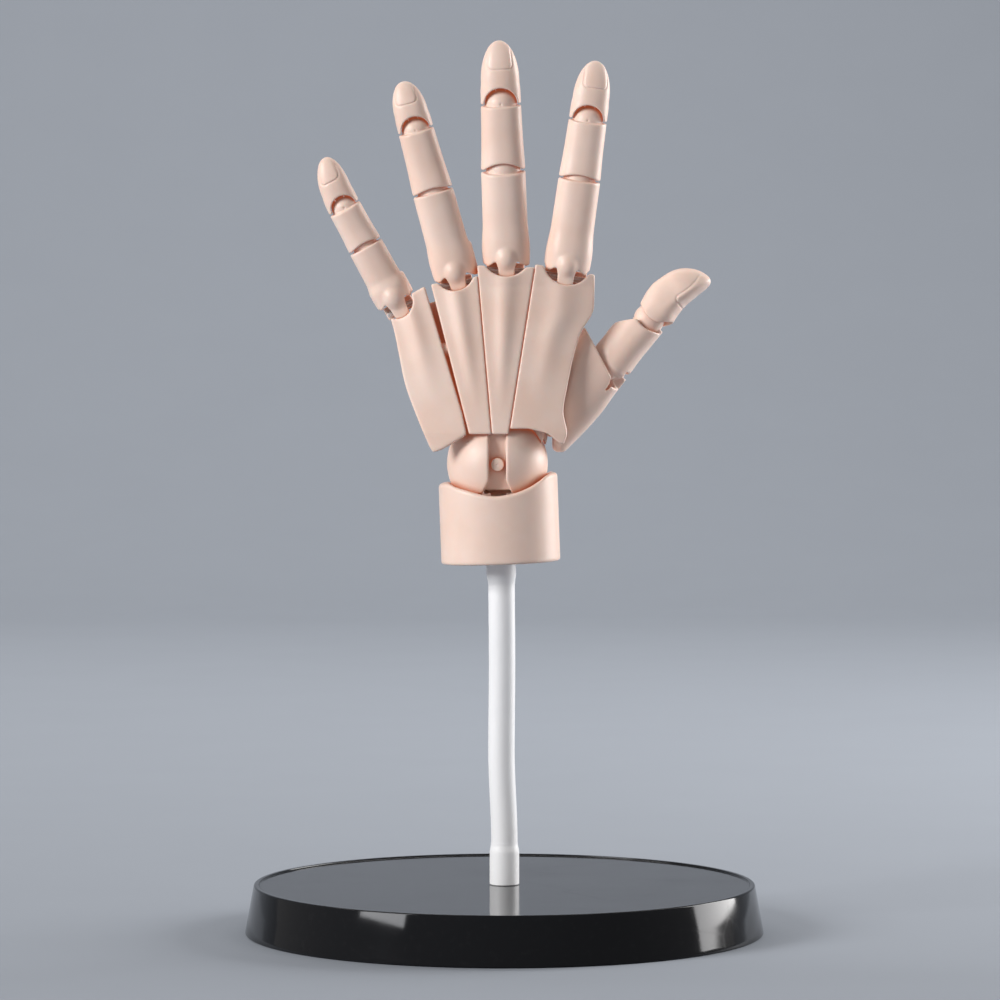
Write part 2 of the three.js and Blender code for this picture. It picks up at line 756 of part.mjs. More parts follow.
// Little metacarpal on its pivot
const littleBody = frame(palm, 'little_splay_axis', at(littlePivotX, 0, littlePivotZ));
{
  const outer = new THREE.CatmullRomCurve3([
    [littleBottomZ, -25], [18.8, -31], [31, -35.4], [43, -37.9], [54, -40.4], [66, -46],
  ].map(([z, x]) => new THREE.Vector3(x, 0, z)));
  const outerAt = (z) => outer.getPoints(60).reduce((best, p) => (
    Math.abs(p.z - z) < Math.abs(best.z - z) ? p : best)).x;
  const rightAt = (z) => {
    const open = (littleSplayGap * Math.max(z - seamRootZ, 0)) / (seamHeadZ - seamRootZ);
    const under = Math.max(littlePivotZ - z, 0) * Math.tan(rad(littleSplay + 0.5));
    return seam(ringLeftRoot, ringLeftHead, z) - gapHalf - open - under;
  };
  const guide = seam(ringLeftRoot, ringLeftHead, guideZ);
  const pocketHalf = littleArmDepth / 2 + runGap;
  const body = joined(
    without(
      column([littleBottomZ, 14, 26, 40, 52, 70], outerAt, rightAt, 1.2, 1.2),
      mouth(fingers.little),
      ball(ballRadius + 2, 0, 0, 0, 24),
      barX(littleHeel, -60, -16, 0, 0, 24),
      moved(box(-60, 60, -60, 60, -60, 0), at(littleToeX, 0, littleToeZ, -littleToeRise)),
      barY(littleEyeRadius + runGap, littlePivotX, -pocketHalf, pocketHalf, littlePivotZ, around),
      box(littlePivotX, 0, -pocketHalf, pocketHalf, littlePivotZ - 4.6, littlePivotZ + 4.6),
      barX(guideDiameter / 2 + 0.7, guide - guideReach - 3, guide + 4, 0, guideZ),
    ),
    barY(littlePegDiameter / 2, littlePivotX, -pocketHalf - 1, pocketHalf + 1, littlePivotZ),
  );
  const home = new THREE.Matrix4().makeTranslation(-littlePivotX, 0, -littlePivotZ);
  piece(littleBody, 'little_metacarpal', moved(body, home), 'skin');
  const half = fingers.little.column - 1;
  const pin = barX(knucklePinDiameter / 2, -half, half, 0, 0);
  const pinAt = at(fingers.little.x, 0, fingers.little.z, fingers.little.pinLean);
  piece(littleBody, 'little_knuckle_pin', moved(moved(pin, pinAt), home), 'steel');
}

// Joint of two phalanges: ball head below, socket foot above
function withHead(body, matrix, half, fall, lean = 0) {
  const radius = half - cheek;
  const slot = tangWidth / 2 + runGap;
  const reach = tangEye + runGap;
  const cut = fall > 0 ? body.subtract(moved(wedgeAbove(0, -rimDrop, fall), matrix)) : body;
  const round = cut.add(moved(ball(radius, 0, 0, 0), matrix));
  const tools = joined(
    box(-slot, slot, -reach, 40, -reach, 40),
    barX(jointPinDiameter / 2 + fit, -radius - 0.05, radius + 0.05, 0, 0),
  );
  const slots = lean > 0
    ? tools.add(moved(box(-slot, slot, -reach, 6, 0, 40), at(0, 0, 0, 0, -lean)))
    : tools;
  return round.subtract(moved(slots, matrix));
}

function withFoot(body, half, slope, arch, backSlope = 0) {
  const radius = half - cheek;
  const half2 = tangWidth / 2;
  const open = without(
    body,
    ball(radius + socketGap, 0, 0, 0),
    wedgeBelow(0, footRise, slope),
    arch,
  );
  const relief = backSlope > 0
    ? moved(wedgeBelow(0, footRise, backSlope), new THREE.Matrix4().makeRotationZ(Math.PI))
    : null;
  const clear = relief ? open.subtract(relief) : open;
  const tang = joined(
    box(-half2, half2, -tangDepth / 2, tangDepth / 2, 0, radius + 1.5),
    barX(tangEye, -half2, half2, 0, 0),
  );
  return clear.add(tang).subtract(barX(jointPinDiameter / 2 + fit, -20, 20, 0, 0));
}

function lowArch(half) {
  const chord = half - 1.2;
  const radius = (chord ** 2 + middleArchHeight ** 2) / (2 * middleArchHeight);
  return barY(radius, 0, -40, -2, footRise + middleArchHeight - radius, 24);
}

function highArch(half) {
  return barY(half - cheek + 0.9, 0, -40, -1, 0, 18);
}

function jointPin(group, name, half, z) {
  const reach = half - cheek - 0.4;
  piece(group, name, barX(jointPinDiameter / 2, -reach, reach, 0, z), 'steel');
}

function middlePhalanx(length, half, next, arch, slope, lean = 0, full = 1) {
  const d = fingerDepthRatio;
  const body = solid(skin([
    oval(footRise, half, half * d, half * d * full),
    oval(length * 0.5, (half + next) / 2, next * d, next * d * 1.06 * full),
    oval(length - rimDrop, next, next * d, next * d * full),
  ]));
  const shaped = withFoot(body, half, slope, arch);
  return withHead(shaped, at(0, 0, length), next, headFall, lean);
}

function distalPhalanx(length, half, tip, slope) {
  const d = fingerDepthRatio;
  const pad = tip * d;
  const levels = [[footRise, half, half * d, half * d]];
  for (const share of [0, 0.35, 0.6, 0.78, 0.9, 0.97, 0.998]) {
    const taper = (1 - share ** 2) ** tipTaper;
    const front = pad * taper * (0.95 - 0.18 * share);
    levels.push([length - tipLength * (1 - share), tip * taper, front, pad * taper * 1.08]);
  }
  const body = solid(skin(levels.map(([z, a, f, b]) => oval(z, a, f, b))));
  const raised = solid(skin(levels.map(([z, a, f, b]) => oval(z, a, f + nailRise, b))));
  const wide = tip * 0.62;
  const nail = raised.intersect(
    box(-wide, wide, -20, -pad * 0.25, length * 0.46, length * 0.93));
  return withFoot(body.add(nail), half, slope, highArch(half));
}

// Thumb tip: heavy pad on the palm side, nail along a flat back
function thumbTipBody() {
  const share = (z) => Math.max(z - thumbTaperZ, 0) / (thumbDistal - thumbTaperZ);
  const levels = [
    [footRise, thumbEndJoint, thumbEndJoint * fingerDepthRatio, thumbHeelDepth],
    [thumbPadZ * 0.5, thumbEndJoint, thumbEndJoint * 0.85, (thumbHeelDepth + thumbPadDepth) / 2],
    [thumbPadZ, thumbTip, (thumbEndJoint + thumbNailDepth) / 2, thumbPadDepth],
  ];
  for (const z of [thumbTaperZ, thumbDistal * 0.72, thumbDistal * 0.84, thumbDistal * 0.93,
    thumbDistal * 0.98, thumbDistal - 0.05]) {
    const taper = (1 - share(z) ** 2) ** tipTaper;
    levels.push([z, thumbTip * taper, thumbNailDepth * Math.sqrt(taper), thumbPadDepth * taper]);
  }
  const body = solid(skin(levels.map(([z, a, f, b]) => oval(z, a, f, b))));
  return withFoot(body, thumbEndJoint, thumbTipSlope, highArch(thumbEndJoint), thumbTipLean + 8);
}

function knuckleBlock(spec) {
  const w = knuckleWidth / 2;
  const wing = spec.column - wingInset;
  return without(
    joined(
      barX(knuckleEye, -w, w, 0, 0, around),
      box(-w, w, -knuckleFront, knuckleBack, 0, knuckleRise),
      box(-wing, wing, wingFront, wingBack, -wingDrop, wingRise),
      barY(w + 1, 0, -knuckleFront, knuckleBack, knuckleRise, around),
    ),
    barX(knucklePinDiameter / 2 + fit, -20, 20, 0, 0),
    barY(spreadPegDiameter / 2 + fit, 0, -20, 20, knuckleRise),
  );
}

function kneeWindow(base, side) {
  const fall = (windowZ - windowEnd) / (base - windowX);
  const far = base + 4;
  const outline = [
    [windowFoot, -windowZ],
    [far, -windowZ],
    [far, windowZ - fall * (far - windowX)],
    [windowX, windowZ],
  ];
  const ring = (y) => outline.map(([x, z]) => new THREE.Vector3(x * side, y, z));
  return solid(skin(side > 0 ? [ring(windowBack), ring(-40)] : [ring(-40), ring(windowBack)]));
}

function proximalPhalanx(spec) {
  const d = fingerDepthRatio;
  const length = spec.proximal;
  const w = knuckleWidth / 2;
  const deep = spec.base * d;
  const body = joined(
    solid(skin([
      oval(skirtRise, spec.base * 0.97, deep * 0.98, deep),
      oval(9, spec.base, deep, deep * 1.04),
      oval(length * 0.5, (spec.base + spec.middleJoint) / 2 - 0.2, spec.middleJoint * d,
        spec.middleJoint * d * 1.1),
      oval(length - rimDrop, spec.middleJoint, spec.middleJoint * d, spec.middleJoint * d),
    ])),
    moved(
      solid(new THREE.SphereGeometry(1, 10, 6),
        new THREE.Matrix4().makeScale(bulbHalfWidth, bulbHalfDepth, bulbHalfHeight)),
      at(0, -deep - bulbProud + bulbHalfDepth, bulbZ),
    ),
  );
  const swing = (turn) => moved(
    box(-w - runGap, w + runGap, -knuckleFront - runGap, knuckleBack + runGap, -20, 0),
    at(0, 0, knuckleRise, turn),
  );
  const hollow = joined(
    swing(spreadSwing), swing(-spreadSwing), swing(0),
    barY(w + 1 + runGap, 0, -knuckleFront - runGap, knuckleBack + runGap, knuckleRise, around),
  );
  const open = without(body, wedgeBelow(0, skirtRise, skirtSlope), kneeWindow(spec.base, 1),
    kneeWindow(spec.base, -1), hollow);
  const pegged = open.add(
    barY(spreadPegDiameter / 2, 0, -knuckleFront - runGap - 1, knuckleBack + runGap + 1, knuckleRise));
  return withHead(pegged, at(0, 0, length), spec.middleJoint, headFall);
}

for (const [name, spec] of Object.entries(fingers)) {
  const parent = name === 'little' ? littleBody : palm;
  const offset = name === 'little'
    ? new THREE.Vector3(spec.x - littlePivotX, 0, spec.z - littlePivotZ)
    : new THREE.Vector3(spec.x, 0, spec.z);
  const knuckle = frame(parent, `${name}_curl_axis`,
    at(offset.x, 0, offset.z, spec.pinLean, restCurl));
  piece(knuckle, `${name}_knuckle`, knuckleBlock(spec), 'skin');
  const spread = frame(knuckle, `${name}_spread_axis`,
    at(0, 0, knuckleRise, spec.lean - spec.pinLean));
  const drop = new THREE.Matrix4().makeTranslation(0, 0, -knuckleRise);
  piece(spread, `${name}_proximal`, moved(proximalPhalanx(spec), drop), 'skin');
  jointPin(spread, `${name}_middle_pin`, spec.middleJoint, spec.proximal - knuckleRise);
  const second = frame(spread, `${name}_middle_axis`, at(0, 0, spec.proximal - knuckleRise, 0, restMiddle));
  const middle = middlePhalanx(spec.middle, spec.middleJoint, spec.endJoint,
    lowArch(spec.middleJoint), footSlope);
  piece(second, `${name}_middle`, middle, 'skin');
  jointPin(second, `${name}_end_pin`, spec.endJoint, spec.middle);
  const third = frame(second, `${name}_end_axis`, at(0, 0, spec.middle, 0, restEnd));
  piece(third, `${name}_distal`, distalPhalanx(spec.distal, spec.endJoint, spec.tip, footSlope), 'skin');
}

// Thumb: saddle on the tongue of the core, then three segments
{
  const pin = barZ(saddlePinDiameter / 2, saddleX, saddleY, saddleZ - saddlePinHalf, saddleZ + saddlePinHalf);
  piece(palm, 'thumb_saddle_pin', pin, 'steel');
  const saddleBody = frame(palm, 'thumb_swing_axis', at(saddleX, saddleY, saddleZ));
  const slotHigh = saddleTongue / 2 + runGap;
  const arm = (turn) => moved(box(-20, 0, -2.5 - runGap, 2.5 + runGap, -slotHigh, slotHigh),
    at(0, 0, 0, 0, 0, turn));
  const saddle = without(
    ball(saddleRadius, 0, 0, 0),
    barZ(saddleTongueEye + runGap, 0, 0, -slotHigh, slotHigh, around),
    arm(4), arm(-saddleSwing / 3), arm((-saddleSwing * 2) / 3), arm(-saddleSwing - 1),
    barZ(saddlePinDiameter / 2 + fit, 0, 0, -20, 20),
    barY(saddlePegDiameter / 2 + fit, 0, -20, 20, 0),
  );
  piece(saddleBody, 'thumb_saddle', saddle, 'skin');

  const root = frame(saddleBody, 'thumb_root_axis', new THREE.Matrix4());
  const columnAt = at(0, 0, 0, thumbColumnLean);
  const levels = [
    [-9, 3.4, 8.6, -6, 3.5],
    [-5, 0.4, 10.7, -8.4, 6.5],
    [4, -7.5, 10.7, -9.6, 8.5],
    [14, -12, 10.2, -9.8, 9.2],
    [24, -15.4, 8.6, -9.8, 8.8],
    [31, -17.4, 7.4, -9.6, 8],
    [34, -18.2, 6.6, -9, 6],
  ];
  const bulk = solid(skin(levels.map(([z, left, right, front, back]) => {
    const mid = (left + right) / 2;
    const depth = (back - front) / 2;
    return oval(z, (right - left) / 2, depth, depth, 2.8, around, mid)
      .map((p) => p.setY(p.y + (front + back) / 2));
  })));
  const knuckleAt = at(thumbKnuckleX - saddleX, 0, thumbKnuckleZ - saddleZ, thumbLean, 0, thumbTurn);
  const pegIn = saddleTongueEye + runGap + 0.1;
  const cleared = without(
    moved(bulk, columnAt),
    ball(saddleRadius + socketGap, 0, 0, 0),
    box(-40, -1.4, -40, 40, -60, 22),
    moved(box(-40, 0, 0, 40, -60, 22), at(-1.4, 3.2, 0, 0, 0, 24)),
    moved(ball(ballRadius + 3, 0, 0, 0, 20), at(-saddleX, -saddleY, -saddleZ)),
    moved(box(-40, 40, -40, thumbMouthDepth, -rimDrop, 60), knuckleAt),
    barY(2.2, 0, -saddleRadius, saddleRadius, 0),
  );
  const pegs = joined(
    barY(saddlePegDiameter / 2, 0, -saddleRadius - 1.6, -pegIn, 0),
    barY(saddlePegDiameter / 2, 0, pegIn, saddleRadius + 1.6, 0),
  );
  const thenar = withHead(cleared.add(pegs), knuckleAt, thumbBase, 0);
  piece(root, 'thumb_metacarpal', thenar, 'skin');
  const knuckle = frame(root, 'thumb_knuckle_axis', knuckleAt);
  jointPin(knuckle, 'thumb_knuckle_pin', thumbBase, 0);
  const proximal = middlePhalanx(thumbProximal, thumbBase, thumbEndJoint, lowArch(thumbBase),
    footSlope, thumbTipLean + 8, thumbFullness);
  piece(knuckle, 'thumb_proximal', proximal, 'skin');
  jointPin(knuckle, 'thumb_end_pin', thumbEndJoint, thumbProximal);
  const end = frame(knuckle, 'thumb_end_axis', at(0, 0, thumbProximal, 0, -thumbTipLean));
  const tip = thumbTipBody();
  piece(end, 'thumb_distal', tip, 'skin');
}

export default hand;
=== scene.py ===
import json
import logging
import math
from collections.abc import Sequence
from dataclasses import dataclass
from enum import Enum

import bpy
import numpy as np
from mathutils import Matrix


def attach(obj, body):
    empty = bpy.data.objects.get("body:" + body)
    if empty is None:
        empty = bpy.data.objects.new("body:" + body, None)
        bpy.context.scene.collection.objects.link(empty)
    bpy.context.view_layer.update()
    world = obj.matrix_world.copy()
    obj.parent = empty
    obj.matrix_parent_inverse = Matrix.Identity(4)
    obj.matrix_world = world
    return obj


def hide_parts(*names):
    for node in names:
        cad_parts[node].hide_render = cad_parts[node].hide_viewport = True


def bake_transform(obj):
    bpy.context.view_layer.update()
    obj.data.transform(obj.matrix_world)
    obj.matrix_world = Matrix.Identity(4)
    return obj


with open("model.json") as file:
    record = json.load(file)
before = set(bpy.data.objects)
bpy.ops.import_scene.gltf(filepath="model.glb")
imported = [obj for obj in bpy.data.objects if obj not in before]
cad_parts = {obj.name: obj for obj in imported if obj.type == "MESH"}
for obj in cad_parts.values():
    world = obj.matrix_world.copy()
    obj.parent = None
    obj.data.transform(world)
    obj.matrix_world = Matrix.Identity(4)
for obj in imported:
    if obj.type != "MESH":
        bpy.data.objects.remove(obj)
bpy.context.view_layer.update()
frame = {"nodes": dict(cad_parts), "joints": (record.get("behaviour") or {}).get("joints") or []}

import openvdb as vdb
from mathutils import Vector

JOINTS = {joint["name"]: joint for joint in frame["joints"]}
MM = 0.001
FAR = 60.0
SQUARE = 2.3
WRIST_BALL = 19.4
FOOT_SLOPE = 42.0
SHARP = math.radians(40)
LOG = logging.getLogger("posable_hand")
Field = np.ndarray
Pair = tuple[float, float]
Triple = tuple[float, float, float]
Four = tuple[float, float, float, float]
Level = Four
Curve = tuple[Pair, ...]
Mesh = bpy.types.Mesh
Socket = bpy.types.NodeSocket


class Slot(Enum):
    """Material slots of the record."""

    PINK = "hand_pink"
    STEEL = "pin_steel"
    WHITE = "post_white"
    BLACK = "base_black"


class FingerName(Enum):
    """The four fingers, from the little finger to the index finger."""

    LITTLE = "little"
    RING = "ring"
    MIDDLE = "middle"
    INDEX = "index"


def melt(a: Field, b: Field, soft: float) -> Field:
    """Joins two distance fields, negative inside, with a fillet of a width in mm."""
    share = np.clip(0.5 + 0.5 * (b - a) / soft, 0, 1)
    return b + (a - b) * share - soft * share * (1 - share)


def meet(a: Field, b: Field, soft: float) -> Field:
    """Keeps what two fields have in common, with a rounded edge."""
    return -melt(-a, -b, soft)


def cut(a: Field, b: Field, soft: float) -> Field:
    """Takes the second field away from the first, with a rounded edge."""
    return -melt(-a, b, soft)


def outside(value: Field, low: Field | float, high: Field | float) -> Field:
    """How far a value lies outside a span, negative between its ends."""
    return np.maximum(low - value, value - high)


def eased(z: Field, knots: Sequence[float], values: Sequence[float]) -> Field:
    """Smooth curve through points that never overshoots them.

    Args:
        z: Places where the curve is read.
        knots: Rising places of the points.
        values: Heights of the points.

    Returns:
        The height at each place, constant beyond both ends.
    """
    k = np.asarray(knots, float)
    v = np.asarray(values, float)
    gap = np.diff(k)
    rise = np.diff(v) / gap
    slope = np.concatenate(([rise[0]], np.zeros(len(k) - 2), [rise[-1]]))
    same = rise[:-1] * rise[1:] > 0
    total = np.where(same, rise[:-1] + rise[1:], 1)
    slope[1:-1] = np.where(same, 2 * rise[:-1] * rise[1:] / total, 0)
    t = np.clip(z, k[0], k[-1])
    i = np.clip(np.searchsorted(k, t, side="right") - 1, 0, len(k) - 2)
    s = (t - k[i]) / gap[i]
    start = v[i] * (1 + 2 * s) * (1 - s) ** 2 + slope[i] * gap[i] * s * (1 - s) ** 2
    end = v[i + 1] * s * s * (3 - 2 * s) + slope[i + 1] * gap[i] * s * s * (s - 1)
    return (start + end).astype(np.float32)


def traced(z: Field, points: Curve) -> Field:
    """Smooth curve through points of (place, height)."""
    return eased(z, *zip(*points))


def ramp(value: Field, low: float, high: float) -> Field:
    """Smooth step from 0 at low to 1 at high."""
    t = np.clip((value - low) / (high - low), 0, 1)
    return t * t * (3 - 2 * t)


def turn_of(angle: float) -> Pair:
    """Cosine and sine of an angle in degrees."""
    return math.cos(math.radians(angle)), math.sin(math.radians(angle))


@dataclass(frozen=True)
class Axes:
    """Own axes of a piece in the row frame, origin in millimetres."""

    origin: np.ndarray
    x: np.ndarray
    y: np.ndarray
    z: np.ndarray

    @classmethod
    def on(cls, origin: np.ndarray, x: np.ndarray, z: np.ndarray) -> "Axes":
        """Right-handed axes from an x and a z direction.

        Args:
            origin: Origin, mm.
            x: Direction near x.
            z: Direction of z.

        Returns:
            The axes, with y towards the palm side.
        """
        up = z / np.linalg.norm(z)
        deep = np.cross(up, x)
        deep = deep / np.linalg.norm(deep)
        return cls(origin, np.cross(deep, up), deep, up)

    @classmethod
    def level(cls, origin: np.ndarray) -> "Axes":
        """Axes of the row frame at an origin in mm."""
        return cls(origin, *np.eye(3))

    def bent(self, origin: np.ndarray, angle: float) -> "Axes":
        """Axes at a new origin whose z is bent towards y by an angle in degrees."""
        c, s = turn_of(angle)
        return Axes.on(origin, self.x, self.z * c + self.y * s)

    def world(self, points: np.ndarray) -> np.ndarray:
        """Own millimetres turned into metres of the row frame."""
        turned = points @ np.stack([self.x, self.y, self.z])
        return (self.origin + turned) * MM


def place_of(joint: str) -> np.ndarray:
    """Where a joint sits at rest, mm."""
    return np.asarray(JOINTS[joint]["pos_m"], float) / MM


def axis_of(joint: str) -> np.ndarray:
    """Unit direction of a joint's axis at rest."""
    return np.asarray(JOINTS[joint]["axis"], float)


@dataclass(frozen=True)
class Room:
    """Sample points along three axes, mm, and plain shapes as distance fields."""

    x: Field
    y: Field
    z: Field

    def moved(self, x: float, y: float, z: float) -> "Room":
        """The same points seen from another origin."""
        return Room(self.x - x, self.y - y, self.z - z)

    def leaned(self, angle: float) -> "Room":
        """The same points in axes leaned about y, degrees."""
        c, s = turn_of(angle)
        return Room(self.x * c - self.z * s, self.y, self.x * s + self.z * c)

    def bent(self, angle: float) -> "Room":
        """The same points in axes bent from z towards y, degrees."""
        c, s = turn_of(angle)
        return Room(self.x, self.y * c - self.z * s, self.y * s + self.z * c)

    def turned(self, angle: float) -> "Room":
        """The same points in axes turned about z, degrees."""
        c, s = turn_of(angle)
        return Room(self.x * c + self.y * s, self.y * c - self.x * s, self.z)

    def ball(self, radius: float) -> Field:
        """Ball about the origin."""
        return np.sqrt(self.x ** 2 + self.y ** 2 + self.z ** 2) - radius

    def bar_x(self, radius: float, low: float = -FAR, high: float = FAR) -> Field:
        """Round bar along x."""
        side = np.sqrt(self.y ** 2 + self.z ** 2) - radius
        return np.maximum(side, outside(self.x, low, high))

    def bar_y(self, radius: float, low: float = -FAR, high: float = FAR) -> Field:
        """Round bar along y."""
        side = np.sqrt(self.x ** 2 + self.z ** 2) - radius
        return np.maximum(side, outside(self.y, low, high))

    def bar_z(self, radius: float, low: float = -FAR, high: float = FAR) -> Field:
        """Round bar along z."""
        side = np.sqrt(self.x ** 2 + self.y ** 2) - radius
        return np.maximum(side, outside(self.z, low, high))

    def box(self, x: Pair, y: Pair, z: Pair) -> Field:
        """Box between two values on each axis."""
        flat = np.maximum(outside(self.x, *x), outside(self.y, *y))
        return np.maximum(flat, outside(self.z, *z))

    def soft_box(self, x: float, y: Pair, z: Pair, soft: float) -> Field:
        """Box about x = 0 with rounded edges.

        Args:
            x: Half width.
            y: Lowest and highest y.
            z: Lowest and highest z.
            soft: Width of the rounding.

        Returns:
            The field of the box.
        """
        deep = meet(y[0] - self.y, self.y - y[1], soft)
        tall = meet(z[0] - self.z, self.z - z[1], soft)
        return meet(meet(np.abs(self.x) - x, deep, soft), tall, soft)

    def above(self, z: float, fall: float) -> Field:
        """What lies above a plane through z on the axis, falling towards y by an angle."""
        c, s = turn_of(fall)
        return -(self.y * s + (self.z - z) * c)

    def oval(self, half: Field, front: Field, back: Field, power: float) -> Field:
        """Share of the way from the axis to a rounded section, 1 on the section.

        Args:
            half: Half width of the section.
            front: Depth towards -y.
            back: Depth towards +y.
            power: Squareness, 2 for an ellipse.

        Returns:
            The share at each point.
        """
        deep = np.where(self.y < 0, front, back)
        total = (np.abs(self.x) / half) ** power + (np.abs(self.y) / deep) ** power
        return total ** (1 / power)

    def stem(self, levels: Sequence[Level]) -> Field:
        """Rounded column through sections (z, half width, front depth, back depth).

        Args:
            levels: Sections from the lowest to the highest.

        Returns:
            The field of an endless column.
        """
        z, *sides = zip(*levels)
        wide, front, back = (eased(self.z, z, side) for side in sides)
        return (self.oval(wide, front, back, SQUARE) - 1) * wide


class Block:
    """A block of sample points that a piece is carved from."""

    BAND = 3.0
    FLATTEST = 0.25

    def __init__(self, axes: Axes, low: Triple, high: Triple,
                 step: float) -> None:
        """Lays out the points.

        Args:
            axes: The piece's own axes.
            low: Lowest corner in those axes, mm.
            high: Highest corner.
            step: Spacing of the points.
        """
        self.axes = axes
        self.low = np.asarray(low, float)
        self.step = step
        counts = np.ceil((np.asarray(high, float) - self.low) / step).astype(int) + 1
        lines = [(self.low[i] + step * np.arange(counts[i])).astype(np.float32) for i in range(3)]
        self.room = Room(lines[0][:, None, None], lines[1][None, :, None], lines[2][None, None, :])

    def even(self, shape: Field) -> Field:
        """The field scaled so that it measures distance near its surface.

        Args:
            shape: Field over the block's points.

        Returns:
            The scaled field.
        """
        parts = np.gradient(shape, self.step)
        size = np.sqrt(sum(part * part for part in parts))
        return shape / np.maximum(size, self.FLATTEST)

    def mesh(self, name: str, shape: Field) -> Mesh:
        """Skins a field.

        Args:
            name: Name of the mesh.
            shape: Field over the block's points.

        Returns:
            The mesh of the largest shell, in metres of the row frame.
        """
        grid = vdb.FloatGrid(background=self.BAND)
        grid.copyFromArray(np.clip(shape, -self.BAND, self.BAND).astype(np.float32))
        grid.transform = vdb.createLinearTransform(voxelSize=self.step)
        points, _, quads = grid.convertToPolygons(isovalue=0.0, adaptivity=0.0)
        points, quads = largest_shell(points.astype(float), quads.astype(np.int64))
        return skin_mesh(name, self.axes.world(points + self.low), quads)


def largest_shell(points: np.ndarray, quads: np.ndarray) -> tuple[np.ndarray, np.ndarray]:
    """Keeps the shell with the most points, facing out.

    Args:
        points: Points, one row each.
        quads: Corners of each face.

    Returns:
        Points and faces of the shell.
    """
    label = np.arange(len(points))
    while True:
        low = label[quads].min(axis=1)
        fresh = label.copy()
        for corner in range(4):
            np.minimum.at(fresh, quads[:, corner], low)
        fresh = fresh[fresh]
        if np.array_equal(fresh, label):
            break
        label = fresh
    best = np.bincount(label).argmax()
    keep = label == best
    number = np.cumsum(keep) - 1
    faces = number[quads[keep[quads[:, 0]]]]
    kept = points[keep]
    a, b, c, d = (kept[faces[:, i]] for i in range(4))
    volume = np.einsum("ij,ij->i", a - kept.mean(0), np.cross(c - a, d - b)).sum()
    return kept, faces if volume > 0 else faces[:, ::-1]


def skin_mesh(name: str, points: np.ndarray, faces: np.ndarray) -> Mesh:
    """Makes a smooth-shaded mesh from quads.

    Args:
        name: Name of the mesh.
        points: Points in metres of the row frame.
        faces: Corners of each quad.

    Returns:
        The mesh.
    """
    mesh = bpy.data.meshes.new(name)
    mesh.vertices.add(len(points))
    mesh.vertices.foreach_set("co", points.astype(np.float32).ravel())
    mesh.loops.add(faces.size)
    mesh.loops.foreach_set("vertex_index", faces.astype(np.int32).ravel())
    mesh.polygons.add(len(faces))
    mesh.polygons.foreach_set("loop_start", np.arange(0, faces.size, 4, dtype=np.int32))
    mesh.update(calc_edges=True)
    mesh.shade_smooth()
    return mesh


def arc(centre: Pair, radius: float, start: float, end: float,
        steps: int) -> list[Pair]:
    """Points along an arc of a profile between two angles in degrees."""
    angles = np.radians(np.linspace(start, end, steps + 1))
    return [(centre[0] + radius * math.cos(a), centre[1] + radius * math.sin(a)) for a in angles]


def lathe(name: str, profile: list[Pair], axes: Axes, sides: int) -> Mesh:
    """Turns a closed profile of (radius, height) about z.

    Args:
        name: Name of the mesh.
        profile: Points of the profile, anticlockwise, away from the axis.
        axes: Axes of the piece.
        sides: Facets around.

    Returns:
        The mesh.
    """
    turn = np.linspace(0, 2 * np.pi, sides, endpoint=False)
    rings = np.array(profile)
    points = np.stack([
        np.outer(rings[:, 0], np.cos(turn)),
        np.outer(rings[:, 0], np.sin(turn)),
        np.outer(rings[:, 1], np.ones(sides)),
    ], axis=-1).reshape(-1, 3)
    return skin_mesh(name, axes.world(points), ring_faces(len(profile), sides))


def ring_faces(rings: int, sides: int) -> np.ndarray:
    """Quads between rings of points, from the last ring back to the first.

    Args:
        rings: Number of rings.
        sides: Points in each ring.

    Returns:
        Corners of each quad.
    """
    k = np.arange(rings)[:, None]
    i = np.arange(sides)[None, :]
    j = (i + 1) % sides
    low = k * sides
    high = ((k + 1) % rings) * sides
    return np.stack([low + i, low + j, high + j, high + i], axis=-1).reshape(-1, 4)


@dataclass(frozen=True)
class Grain:
    """Noise of a finish: features per metre, layers, the span that is used, and its stretch."""

    scale: float
    detail: float
    span: Pair = (0.3, 0.7)
    stretch: Triple | None = None


